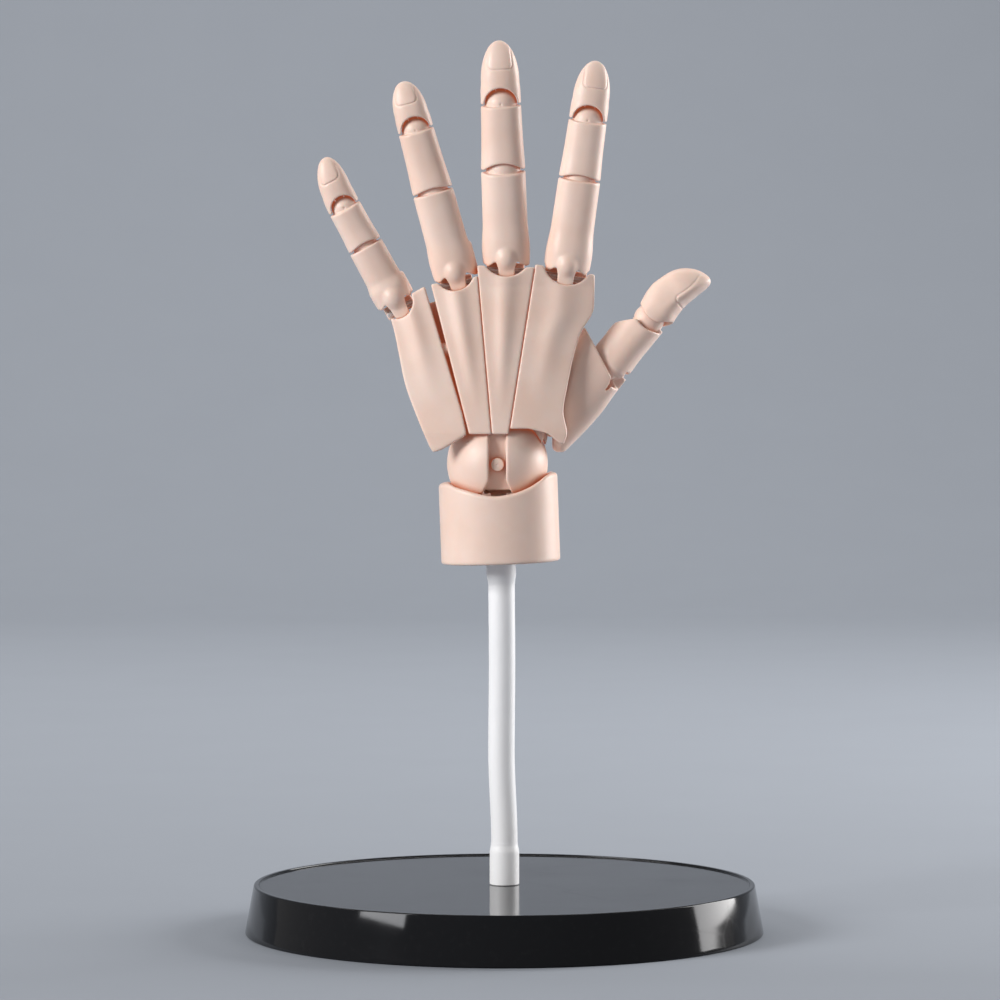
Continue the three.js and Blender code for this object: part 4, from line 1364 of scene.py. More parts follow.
def pin_profile(radius: float, reach: float) -> list[Pair]:
    """Profile of a pin about z with rounded ends and a hair-fine bore that closes it.

    Args:
        radius: Radius of the pin, mm.
        reach: Half its length.

    Returns:
        Points of (radius, height).
    """
    edge = 0.3
    hair = 0.01
    profile = [(hair, -reach), (radius - edge, -reach)]
    profile += arc((radius - edge, -reach + edge), edge, -90, 0, 4)[1:]
    profile += arc((radius - edge, reach - edge), edge, 0, 90, 4)
    return profile + [(hair, reach)]


@dataclass(frozen=True)
class Palm:
    """Plates of the palm between the wrist ball and the knuckles, mm."""

    fingers: dict[FingerName, Finger]
    ball_room: float = 0.35
    seam_gap: float = 0.24
    seam_left: float = 0.02
    seam_low: float = 12
    seam_high: float = 68
    ring_left: Pair = (-11, -25.4)
    middle_left: Pair = (-2.2, -7.1)
    index_left: Pair = (4.4, 13.2)
    front: Triple = (-17.2, -13.6, -10.4)
    back: Triple = (16.8, 14.6, 11.4)
    back_edge: float = 2.4
    ridge: float = 1.5
    ridge_z: Pair = (18, 58)
    ridge_sharp: float = 6
    arch_drop: float = 4.2
    arch_x: float = -3
    arch_span: float = 36
    bottom: float = 11.6
    index_foot: Curve = ((11.9, 13.7), (18.7, 11.9), (25.0, 7.7), (27.5, 7.5))
    little_bottom: float = 4.6
    little_gap: float = 2.4
    little_splay: float = 5.5
    little_room: float = 2
    little_arm: Triple = (3.4, 4.6, 4.4)
    rebate: Four = (3, 1, 2, 4)
    heel: Pair = (15.6, -16)
    heel_slope: Triple = (-22, 5, -31)
    pivot: Pair = (-19.5, 19.5)
    pivot_pin: Pair = (1.8, 4.4)
    core_arm: Four = (-11, 3.3, 3.5, 4.3)
    core_body: tuple[Pair, Pair, Pair] = ((-12.3, 16.3), (-6.8, 6.8), (19.7, 34.3))
    core_tongue: Four = (11.7, 2.8, 21, 4.7)
    index_edge: Curve = (
        (8.2, 25.6), (12, 26.6), (20, 25.2), (29, 26.6), (49, 31.4), (60, 37), (84, 37.6))
    little_edge: Curve = (
        (4.6, -25), (18.8, -31), (31, -35.4), (43, -37.9), (54, -40.4), (66, -46))
    saddle: Triple = (22.5, 5, 16)
    saddle_room: float = 7.3
    guide_z: float = 44
    guide: float = 2.5
    guide_y: float = -8
    guide_reach: float = 5
    guide_root: float = 4
    guide_room: Pair = (0.7, 3)
    reliefs: tuple[Triple, ...] = ((18.6, -5.4, 0), (18.6, -1, 20))
    relief_top: float = 57
    flange: tuple[float, ...] = (3.2, 6.2, 14, 67, 2.5)
    web: Triple = (13, 4.6, 15)
    web_steps: tuple[Triple, ...] = ((18.8, -7, -1), (20.3, -2, 4))
    web_lean: float = 0.213
    step: float = 0.45
    edge: float = 0.5
    groove: Pair = (1.0, 2.0)

    def axes(self) -> Axes:
        """Axes of the palm at the centre of the wrist ball."""
        return Axes.level(place_of("wrist_flex"))

    def seam(self, ends: Pair, z: Field) -> Field:
        """Place of a seam that runs straight from root to head."""
        return ends[0] + (ends[1] - ends[0]) * (z - self.seam_low) / (self.seam_high - self.seam_low)

    def plate(self, room: Room, left: Field, right: Field, bottom: Field | float,
              shut: tuple[bool, bool] = (False, False)) -> Field:
        """One plate between its edges, arched across the hand, with a low ridge.

        Args:
            room: Points in the palm's axes.
            left: Left edge at each height.
            right: Right edge at each height.
            bottom: Lowest height.
            shut: Whether the left and the right edge meet the neighbour below the groove.

        Returns:
            The field of the plate.
        """
        knots = [self.seam_low, (self.seam_low + self.seam_high) / 2, self.seam_high]
        front, back = (eased(room.z, knots, depths) for depths in (self.front, self.back))
        share = (room.x - (left + right) / 2) / ((right - left) / 2)
        rise = ramp(room.z, *self.ridge_z)
        face = front + self.arch_drop * ((room.x - self.arch_x) / self.arch_span) ** 2
        face = face - self.ridge * rise * np.exp(-self.ridge_sharp * share ** 2)
        inside = ramp(np.minimum(room.y - face, back - room.y), *self.groove)
        inside = inside * (self.seam_gap / 2 - self.seam_left)
        side = np.maximum(left - room.x - inside * shut[0], room.x - right - inside * shut[1])
        shape = meet(side, face - room.y, self.edge)
        shape = meet(shape, room.y - back, self.back_edge)
        return meet(shape, bottom - room.z, self.edge)

    def core_room(self, room: Room) -> Field:
        """Hollow for the block inside the palm and its arms.

        Args:
            room: Points in the palm's axes.

        Returns:
            The field of the hollow.
        """
        inner, *sizes = self.core_arm
        hollow = np.minimum(self.pivot_arm(room, inner, *sizes), room.box(*self.core_body))
        x, y, z = self.saddle
        inner, half, top, eye = self.core_tongue
        hollow = np.minimum(hollow, room.box((inner, x), (y - half, y + half), (z - half, top)))
        return np.minimum(hollow, room.moved(x, y, z).bar_z(eye, -half, half))

    def pivot_arm(self, room: Room, inner: float, deep: float, tall: float, eye: float) -> Field:
        """Arm to the little plate's pivot, round at its end.

        Args:
            room: Points in the palm's axes.
            inner: Where the arm begins.
            deep: Half depth.
            tall: Half height.
            eye: Radius about the pivot.

        Returns:
            The field of the arm.
        """
        x, z = self.pivot
        arm = room.box((x, inner), (-deep, deep), (z - tall, z + tall))
        return np.minimum(arm, room.moved(x, 0, z).bar_y(eye, -deep, deep))

    def finish_plate(self, block: Block, shape: Field, finger: Finger) -> Mesh:
        """Cuts the mouth, the ball and the core out of a plate.

        Args:
            block: Block that is carved.
            shape: Field of the plate.
            finger: Finger that the plate carries.

        Returns:
            The mesh.
        """
        room = block.room
        shape = cut(shape, finger.mouth(room), 0.6)
        shape = cut(shape, room.ball(WRIST_BALL + self.ball_room), 0.5)
        shape = cut(shape, self.core_room(room), 0.2)
        return block.mesh(finger.node("plate"), shape)

    def ring(self) -> Mesh:
        """Carves the ring finger's plate with its guide peg and the flange behind the gap.

        Returns:
            The mesh.
        """
        block = Block(self.axes(), (-34, -21, 8), (4, 19, 74), self.step)
        room = block.room
        gap = self.seam_gap / 2
        left = self.seam(self.ring_left, room.z) + gap
        shape = self.plate(room, left, self.seam(self.middle_left, room.z) - gap, self.bottom, (False, True))
        front, back, low, high, reach = self.flange
        edge = self.little_right(room.z) - reach
        flange = np.maximum(outside(room.x, edge, left + 2), outside(room.y, front, back))
        shape = melt(shape, meet(flange, outside(room.z, low, high), 0.8), 0.4)
        x = float(self.seam(self.ring_left, self.guide_z))
        at = room.moved(x, self.guide_y, self.guide_z)
        peg = at.bar_x(self.guide, -self.guide_reach, self.guide_root)
        return self.finish_plate(block, melt(shape, peg, 0.4), self.fingers[FingerName.RING])

    def middle(self) -> Mesh:
        """Carves the middle finger's plate.

        Returns:
            The mesh.
        """
        block = Block(self.axes(), (-12, -21, 8), (18, 19, 79), self.step)
        room = block.room
        gap = self.seam_gap / 2
        left = self.seam(self.middle_left, room.z) + gap
        shape = self.plate(room, left, self.seam(self.index_left, room.z) - gap, self.bottom, (True, True))
        return self.finish_plate(block, shape, self.fingers[FingerName.MIDDLE])

    def index(self) -> Mesh:
        """Carves the index finger's plate, relieved for the thumb.

        Returns:
            The mesh.
        """
        block = Block(self.axes(), (1, -21, 4), (41, 19, 79), self.step)
        room = block.room
        left = self.seam(self.index_left, room.z) + self.seam_gap / 2
        right, bottom = traced(room.z, self.index_edge), traced(room.x, self.index_foot)
        shape = self.plate(room, left, right, bottom, (True, False))
        for x, y, turn in self.reliefs:
            relief = room.moved(x, y, 0).turned(turn).box((0, FAR), (0, FAR), (-FAR, self.relief_top))
            shape = cut(shape, relief, 0.8)
        left, low, high = self.web
        leant = Room(room.x + self.web_lean * (high - room.z), room.y, room.z)
        for right, near, far in self.web_steps:
            shape = melt(shape, leant.box((left, right), (near, far), (low, high)), 0.4)
        shape = cut(shape, room.moved(*self.saddle).ball(self.saddle_room), 0.5)
        return self.finish_plate(block, shape, self.fingers[FingerName.INDEX])

    def little_right(self, z: Field) -> Field:
        """Right edge of the little finger's plate.

        Args:
            z: Heights, mm.

        Returns:
            The edge at each height.
        """
        opening = self.little_gap * np.maximum(z - self.seam_low, 0) / (self.seam_high - self.seam_low)
        under = np.maximum(self.pivot[1] - z, 0) * math.tan(math.radians(self.little_splay))
        return self.seam(self.ring_left, z) - self.seam_gap / 2 - opening - under

    def little(self) -> Mesh:
        """Carves the little finger's plate, which swings on its pivot.

        Returns:
            The mesh.
        """
        block = Block(self.axes(), (-48, -21, 1), (-5, 19, 72), self.step)
        room = block.room
        left, right = traced(room.z, self.little_edge), self.little_right(room.z)
        shape = self.plate(room, left, right, self.little_bottom)
        front, back, low, high, reach = self.flange
        side, deep, under, over = self.rebate
        rebate = np.maximum(right - reach - side - room.x, outside(room.y, front - deep, back + deep))
        shape = cut(shape, np.maximum(rebate, outside(room.z, low - under, high + over)), 0.4)
        shape = cut(shape, room.ball(WRIST_BALL + self.little_room), 0.6)
        radius, inner = self.heel
        shape = cut(shape, room.bar_x(radius, high=inner), 1.2)
        x, z, lean = self.heel_slope
        shape = cut(shape, room.moved(x, 0, z).leaned(lean).z, 1.2)
        shape = cut(shape, self.pivot_arm(room, 0, *self.little_arm), 0.3)
        radius, half = self.pivot_pin
        x, z = self.pivot
        shape = np.minimum(shape, room.moved(x, 0, z).bar_y(radius, -half, half))
        around, beyond = self.guide_room
        reach = float(self.seam(self.ring_left, self.guide_z)) - self.guide_reach - beyond
        guide = room.moved(0, self.guide_y, self.guide_z).bar_x(self.guide + around, reach, 0)
        shape = cut(cut(shape, guide, 0.3), self.fingers[FingerName.LITTLE].mouth(room), 0.6)
        return block.mesh("little_plate", shape)

    def build(self, shop: Workshop) -> None:
        """Makes the plates and sets them on the palm.

        Args:
            shop: Workshop that takes the pieces.
        """
        skin = PinkMoulding()
        shop.fix(self.ring(), skin, "palm", "ring_metacarpal")
        shop.fix(self.middle(), skin, "palm", "middle_metacarpal")
        shop.fix(self.index(), skin, "palm", "index_metacarpal")
        shop.fix(self.little(), skin, "little_metacarpal", "little_metacarpal")


@dataclass(frozen=True)
class Wrist:
    """Wrist ball and the cuff that holds it, mm and degrees."""

    cuff_length: float = 38.1
    cuff_half: Pair = (22.9, 22.1)
    cuff_power: float = 2.15
    cuff_edges: Triple = (1.2, 1.3, 0.7)
    rim_share: float = 0.93
    rim: Curve = (
        (-22.9, -7.3), (-19.7, -6.8), (-15.9, -8.3), (-11.2, -9.8), (-6, -11.3), (-1, -12.0), (5.9, -11.1),
        (11.2, -9.4), (15.5, -7.1), (18.6, -5.0), (20.6, -4.2), (22.9, -4.4))
    socket: float = 19.8
    foot_seat: float = 20.3
    foot_height: float = 5
    foot_half: float = 5.3
    foot_room: float = 0.3
    swivel: Pair = (4.3, 10.8)
    slot_half: float = 3.3
    slot_floor: float = 13.1
    slot_z: Pair = (-12, 12)
    tilt_room: float = 11
    fork: Triple = (6.5, 12.3, 77)
    stem: Triple = (3.5, 9, 41)
    stem_deep: float = 3.1
    hub: Pair = (7.3, 5.6)
    hub_z: Pair = (-6, 4)
    cross_bore: Pair = (2.3, 14)
    top_bore: Pair = (4.3, 11.7)
    slot_flare: Pair = (-6, 0.45)
    cap: Pair = (2.5, 3.4)
    cap_seat: float = 0.2
    cap_edge: float = 0.45
    cap_shank: Pair = (0.9, 2.8)
    cap_dome: Curve = ((0.6, 0.09), (0.3, 0.13))
    cap_rise: float = 0.15
    stem_foot: Pair = (5, 25.3)
    stem_bore: float = 1.5
    stem_bar: Pair = (2.8, 2.6)
    stem_fork: Four = (5.6, 3.4, 9, 11.5)
    stem_apron: Four = (10.6, 11.5, 4.4, 33)
    step: float = 0.45

    def cuff_axes(self) -> Axes:
        """Axes of the cuff at the centre of the wrist ball."""
        return Axes.on(place_of("wrist_flex"), -axis_of("wrist_flex"), axis_of("hand_swivel"))

    def cuff(self) -> Mesh:
        """Carves the cuff with its scooped rim.

        Returns:
            The mesh.
        """
        a, b = self.cuff_half
        low = -self.cuff_length
        block = Block(self.cuff_axes(), (-a - 1, -b - 1, low - 1), (a + 1, b + 1, 0), self.step)
        room = block.room
        wall = block.even((room.oval(a, b, b, self.cuff_power) - 1) * b + 0 * room.z)
        foot, lip, inner = self.cuff_edges
        shape = meet(wall, low - room.z, foot)
        rim = room.z - traced(room.x, self.rim)
        shape = meet(shape, self.rim_share * rim, lip)
        shape = cut(shape, room.ball(self.socket), inner)
        spigot, reach = self.swivel
        shape = cut(shape, room.bar_z(spigot, high=low + reach), 0.5)
        half = self.foot_half
        floor = -self.foot_seat - self.foot_height - self.foot_room
        pocket = room.box((-half, half), (-half, half), (floor, 0))
        return block.mesh("cuff_body", cut(shape, pocket, 0.4))

    def swing_cut(self, room: Room, half: float, near: float, far: float, turn: float,
                  deep: float = 0) -> Field:
        """Slot that a bar sweeps as it turns about x.

        Args:
            room: Points about the wrist.
            half: Half width of the slot on the axis.
            near: Nearest distance from the axis.
            far: Farthest distance.
            turn: Angle to each side of straight down.
            deep: Half depth of the bar beyond that angle.

        Returns:
            The field of the slot.
        """
        away = np.hypot(room.y, room.z)
        angle = np.abs(np.arctan2(room.y, -room.z))
        wide = np.abs(room.x) - half - away * math.tan(math.radians(self.tilt_room))
        limit = math.radians(turn) + np.arcsin(np.clip(deep / np.maximum(away, 1), 0, 1))
        swept = (angle - limit) * np.maximum(away, 1)
        return np.maximum(np.maximum(wide, swept), outside(away, near, far))

    def ball_mesh(self) -> Mesh:
        """Carves the wrist ball with its slots.

        Returns:
            The mesh.
        """
        r = WRIST_BALL + 1
        block = Block(Axes.level(place_of("wrist_flex")), (-r, -r, -r), (r, r, r), self.step)
        room = block.room
        half, far, turn = self.fork
        shape = cut(room.ball(WRIST_BALL), self.swing_cut(room, half, 0, far, turn), 0.5)
        half, near, turn = self.stem
        path = self.swing_cut(room, half, near, FAR, turn, self.stem_deep)
        wide, deep = self.hub
        shape = cut(shape, room.box((-wide, wide), (-deep, deep), self.hub_z), 0.5)
        radius, reach = self.cross_bore
        shape = cut(shape, room.bar_y(radius, -reach, reach), 0.3)
        start, flare = self.slot_flare
        half = self.slot_half + flare * np.maximum(start - room.z, 0)
        for side in (-1, 1):
            hub = Room(room.x, room.y * side, room.z).box((-FAR, FAR), (self.slot_floor, FAR), self.slot_z)
            path = melt(path, np.maximum(np.abs(room.x) - half, hub), 0.6)
        shape = cut(shape, path, 0.8)
        radius, low = self.top_bore
        return block.mesh("ball_body", cut(shape, room.bar_z(radius, low), 0.3))

    def stem_mesh(self) -> Mesh:
        """Carves the stem in the cuff: foot, bar, fork and the apron that closes the ball's slot.

        Returns:
            The mesh.
        """
        half, low = self.stem_foot
        block = Block(self.cuff_axes(), (-9, -9, -low - 1), (9, 9, 4), 0.4)
        room = block.room
        wide, deep = self.stem_bar
        ear, gap, floor, bridge = self.stem_fork
        shape = room.soft_box(half, (-half, half), (-low, -self.foot_seat), 0.6)
        shape = melt(shape, room.soft_box(wide, (-deep, deep), (-self.foot_seat - 1, -floor), 0.4), 0.6)
        fork = np.minimum(room.soft_box(ear, (-deep, deep), (-bridge, 0), 0.4), room.bar_x(deep, -ear, ear))
        near, far, across, turn = self.stem_apron
        away = np.hypot(room.y, room.z)
        swept = (np.abs(np.arctan2(room.y, -room.z)) - math.radians(turn)) * np.maximum(away, 1)
        apron = np.maximum(outside(away, near, far), np.maximum(np.abs(room.x) - across, swept))
        shape = np.minimum(np.minimum(shape, fork), apron)
        shape = cut(shape, room.box((-gap, gap), (-FAR, FAR), (-floor, FAR)), 0.3)
        return block.mesh("stem_body", cut(shape, room.bar_x(self.stem_bore), 0.2))

    def cap_mesh(self, name: str, side: int) -> Mesh:
        """Turns the domed cap of the wrist's cross pin.

        Args:
            name: Name of the mesh.
            side: -1 on the back of the hand, 1 on the palm side.

        Returns:
            The mesh.
        """
        radius, height = self.cap
        seat = self.slot_floor + self.cap_seat
        axes = Axes.on(place_of("wrist_flex"), np.array([1.0, 0, 0]), np.array([0, float(side), 0]))
        edge, hair = self.cap_edge, 0.02
        shank, deep = self.cap_shank
        top = seat + height - self.cap_rise
        profile = [(shank, seat - deep), (shank, seat), (radius, seat)]
        profile += arc((radius - edge, top - edge), edge, 0, 80, 6)
        profile += [(radius * share, top + rise) for share, rise in self.cap_dome]
        return lathe(name, profile + [(hair, top + self.cap_rise), (hair, seat - deep)], axes, 48)

    def build(self, shop: Workshop) -> None:
        """Makes the wrist's pieces and sets them on their bodies.

        Args:
            shop: Workshop that takes the pieces.
        """
        shop.fix(self.cuff(), PinkMoulding(), "cuff", "wrist_cuff")
        shop.fix(self.ball_mesh(), PinkMoulding(), "palm", "wrist_ball")
        shop.fix(self.stem_mesh(), PinkMoulding(), "cuff", "wrist_stem")
        for name, side in (("front", -1), ("back", 1)):
            mesh = self.cap_mesh(f"{name}_cap", side)
            shop.fix(mesh, PinkMoulding(), "wrist_cross", f"wrist_cap_{name}")


@dataclass(frozen=True)
class Thumb:
    """Thumb from its saddle in the palm, mm and degrees."""

    base: float = 8.6
    end_joint: float = 8
    tip: float = 7.4
    distal: float = 28.3
    tip_lean: float = 17
    relief: float = 8
    column_lean: float = 45
    turn: float = 78
    lean: float = 39.6
    saddle_ball: float = 6.9
    saddle_bore: Pair = (2.2, 6.5)
    saddle_peg: Triple = (1.5, 4.9, 8.1)
    saddle_side: Pair = (-1.4, 22)
    saddle_wedge: Pair = (3.2, 24)
    wrist_room: float = 22.4
    full: float = 1.18
    arch: float = 2
    wall: float = -8.9
    wall_ease: Pair = (0.8, -8)
    wall_open: Pair = (-3, -9)
    mouth_deep: float = 13.2
    wall_line: Triple = (-18.2, 33.7, 0.309)
    notch: Triple = (5.9, 27.3, 2.5)
    notch_y: float = -4
    cheek: Pair = (9.9, -3)
    cheek_end: Pair = (-6.1, -2)
    cheek_full: float = 0.18
    cheek_rise: Triple = (1, 7, 2)
    cheek_side: float = 5
    cheek_fit: float = 0.6
    cheek_inset: Triple = (0.1, 0.35, 2)
    cheek_top: float = 9
    knuckle_bend: float = 30
    foot_trim: Pair = (-12, 0.5)
    rim_scoop: Triple = (8.6, -1.5, 3.7)
    column: tuple[tuple[float, ...], ...] = (
        (-9, 3.4, 8.6, -6, 3.5), (-5, 0.4, 10.7, -8.6, 6.5), (4, -7.5, 10.7, -10.1, 8.5),
        (14, -12, 10.2, -10.3, 9.2), (24, -15.4, 8.6, -10.3, 8.8), (31, -17.4, 7.8, -10.2, 8),
        (40, -19.4, 7.2, -9.8, 6))
    column_square: float = 2.8
    column_edge: float = 3.0
    tip_levels: tuple[Level, ...] = (
        (0.4, 8, 7.2, 6.6), (6.2, 8, 6.5, 9.6), (10, 7.8, 4.9, 10.6), (15.7, 7.4, 3.2, 10.7),
        (20, 7.4, 3.0, 10.7), (25, 7.4, 3.8, 10.7), (28.3, 7.4, 5.9, 10.7))

    def cheek_room(self, room: Room, spare: float, bend: float) -> Field:
        """Disc about the thumb's knuckle that the segment's cheek fills.

        Args:
            room: Points about the knuckle.
            spare: Room to leave around the cheek.
            bend: Farthest the cheek turns towards the disc's open side, degrees.

        Returns:
            The field of the disc.
        """
        reach, inner = self.cheek
        end, low = self.cheek_end
        start, share, span = self.cheek_rise
        upper = np.clip((room.z - start + share * spare) / span, 0, 1)
        full = self.cheek_full * np.clip(room.y / self.cheek_side, 0, 1) * upper
        away = np.hypot(room.y, room.z) * (1 - full)
        c, s = turn_of(bend)
        open_side = np.minimum(end - spare - (room.y * c + room.z * s), low - spare - room.z)
        disc = np.maximum(away - reach - spare, room.x - inner - spare * self.cheek_fit)
        return np.maximum(disc, open_side)

    def root_mesh(self) -> Mesh:
        """Carves the fleshy root of the thumb.

        Returns:
            The mesh.
        """
        saddle = place_of("thumb_swing")
        knuckle = place_of("thumb_knuckle") - saddle
        block = Block(Axes.level(saddle), (-9, -12, -12), (34, 12, 40), 0.42)
        room = block.room
        along = room.leaned(self.column_lean)
        z, *sides = zip(*self.column)
        left, right, front, back = (eased(along.z, z, side) for side in sides)
        mid = Room(along.x - (left + right) / 2, along.y - (front + back) / 2, along.z)
        deep = (back - front) / 2
        body = block.even((mid.oval((right - left) / 2, deep, deep, self.column_square) - 1) * deep)
        body = meet(body, outside(along.z, z[0], z[-1]), self.column_edge)
        x, high = self.saddle_side
        body = cut(body, room.box((-FAR, x), (-FAR, FAR), (-FAR, high)), 1.0)
        y, turn = self.saddle_wedge
        wedge = room.moved(x, y, 0).turned(turn)
        body = cut(body, wedge.box((-FAR, 0), (0, FAR), (-FAR, high)), 1.0)
        wrist = place_of("wrist_flex") - saddle
        body = cut(body, room.moved(*wrist).ball(self.wrist_room), 1.0)
        low, rise = self.foot_trim
        body = cut(body, (room.z - low - rise * room.y) / math.hypot(1, rise), 1.0)
        at = room.moved(*knuckle).leaned(self.lean).turned(self.turn)
        ease, start = self.wall_ease
        behind = self.wall + ease * np.maximum(start - along.x, 0) - room.y
        slot, reach = FORM.tang.half + FORM.slot_gap, FORM.tang.eye + FORM.slot_gap
        mouth = at.box((-FAR, FAR), (-FAR, self.mouth_deep), (-FORM.rim_drop, FAR))
        body = cut(body, np.maximum(mouth, behind), 0.6)
        body = cut(body, at.box((slot, FAR), (-FAR, FAR), (-FORM.rim_drop, FAR)), 0.6)
        body = cut(body, np.maximum(self.cheek_room(at, 0.5, 0), behind), 0.5)
        x, z, fall = self.wall_line
        above = (z - fall * (along.x - x) - along.z) / math.hypot(1, fall)
        y, x = self.wall_open
        body = cut(body, np.maximum(above, np.minimum(room.y - y, along.x - x)), 0.7)
        x, z, radius = self.notch
        notch = np.hypot(along.x - x, along.z - z) - radius
        body = cut(body, np.maximum(notch, room.y - self.notch_y), 0.7)
        body = cut(body, room.ball(self.saddle_ball), 0.4)
        radius, half = self.saddle_bore
        body = cut(body, room.bar_y(radius, -half, half), 0.2)
        shape = melt(body, at.ball(self.base - FORM.cheek), 0.3)
        shape = cut(shape, at.box((-slot, slot), (-reach, FAR), (-reach, FAR)), FORM.crisp)
        pegs = Room(room.x, np.abs(room.y), room.z).bar_y(*self.saddle_peg)
        shape = np.minimum(shape, pegs)
        return block.mesh("thumb_root_body", shape)

    def segment_mesh(self, axes: Axes, long: float) -> Mesh:
        """Carves the middle of the thumb, with a cheek behind the root's wall and a scooped rim.

        Args:
            axes: Axes at the thumb's knuckle, z along the segment.
            long: Distance between the two joints.

        Returns:
            The mesh.
        """
        wide = self.base + FORM.spare
        low = -self.cheek[0]
        block = Block(axes, (-wide, -wide, low - 0.8), (wide, wide + 1.6, long + self.end_joint), 0.34)
        room = block.room
        root, end = self.base * FORM.depth, self.end_joint * FORM.depth
        body = block.even(room.stem([
            (FORM.foot_rise, self.base, root, root * self.full),
            (long * 0.5, (self.base + self.end_joint) / 2 - 0.1, end, end * 1.06 * self.full),
            (long - FORM.rim_drop, self.end_joint, end, end * self.full),
        ]))
        arch = FORM.middle_arch(room, self.base, self.arch)
        shape = FORM.with_foot(room, body, self.base, arch, 0, FORM.tang)
        socket = self.base - FORM.cheek + FORM.socket_gap
        least, fall, deep = self.cheek_inset
        inset = least + fall * np.clip(-room.z, 0, deep)
        cheek = np.maximum(body + inset, socket - room.ball(0))
        cheek = np.maximum(cheek, outside(room.z, low, self.cheek_top))
        shape = np.minimum(shape, meet(cheek, self.cheek_room(room, 0, self.knuckle_bend), 0.4))
        top = room.moved(0, 0, long)
        radius, y, drop = self.rim_scoop
        shape = cut(shape, top.moved(0, y, radius - drop).bar_x(radius, high=-1), FORM.fillet)
        lean = self.tip_lean + self.relief
        shape = FORM.with_head(top, shape, self.end_joint, 0, FORM.tang, FORM.rim_drop, lean=lean)
        return block.mesh("thumb_segment", shape)

    def build(self, shop: Workshop) -> None:
        """Makes the thumb's pieces and sets them on their bodies.

        Args:
            shop: Workshop that takes the pieces.
        """
        skin = PinkMoulding()
        shop.fix(self.root_mesh(), skin, "thumb_metacarpal", "thumb_metacarpal")
        knuckle, end = place_of("thumb_knuckle"), place_of("thumb_end")
        axes = Axes.on(knuckle, axis_of("thumb_knuckle"), end - knuckle)
        long = float(np.linalg.norm(end - knuckle))
        shop.fix(self.segment_mesh(axes, long), skin, "thumb_proximal", "thumb_proximal")
        tip = Fingertip(
            self.distal, self.end_joint, self.tip, nail_turn=-44, back_slope=self.tip_lean + self.relief,
            levels=self.tip_levels, tang=FORM.tang, proud=0, foot_slope=2, taper_share=0.46, taper=0.6,
            nail_width=0.72, nail_start=0.46)
        mesh = tip.carve("thumb_tip", axes.bent(end, -self.tip_lean))
        shop.fix(mesh, skin, "thumb_distal", "thumb_distal")


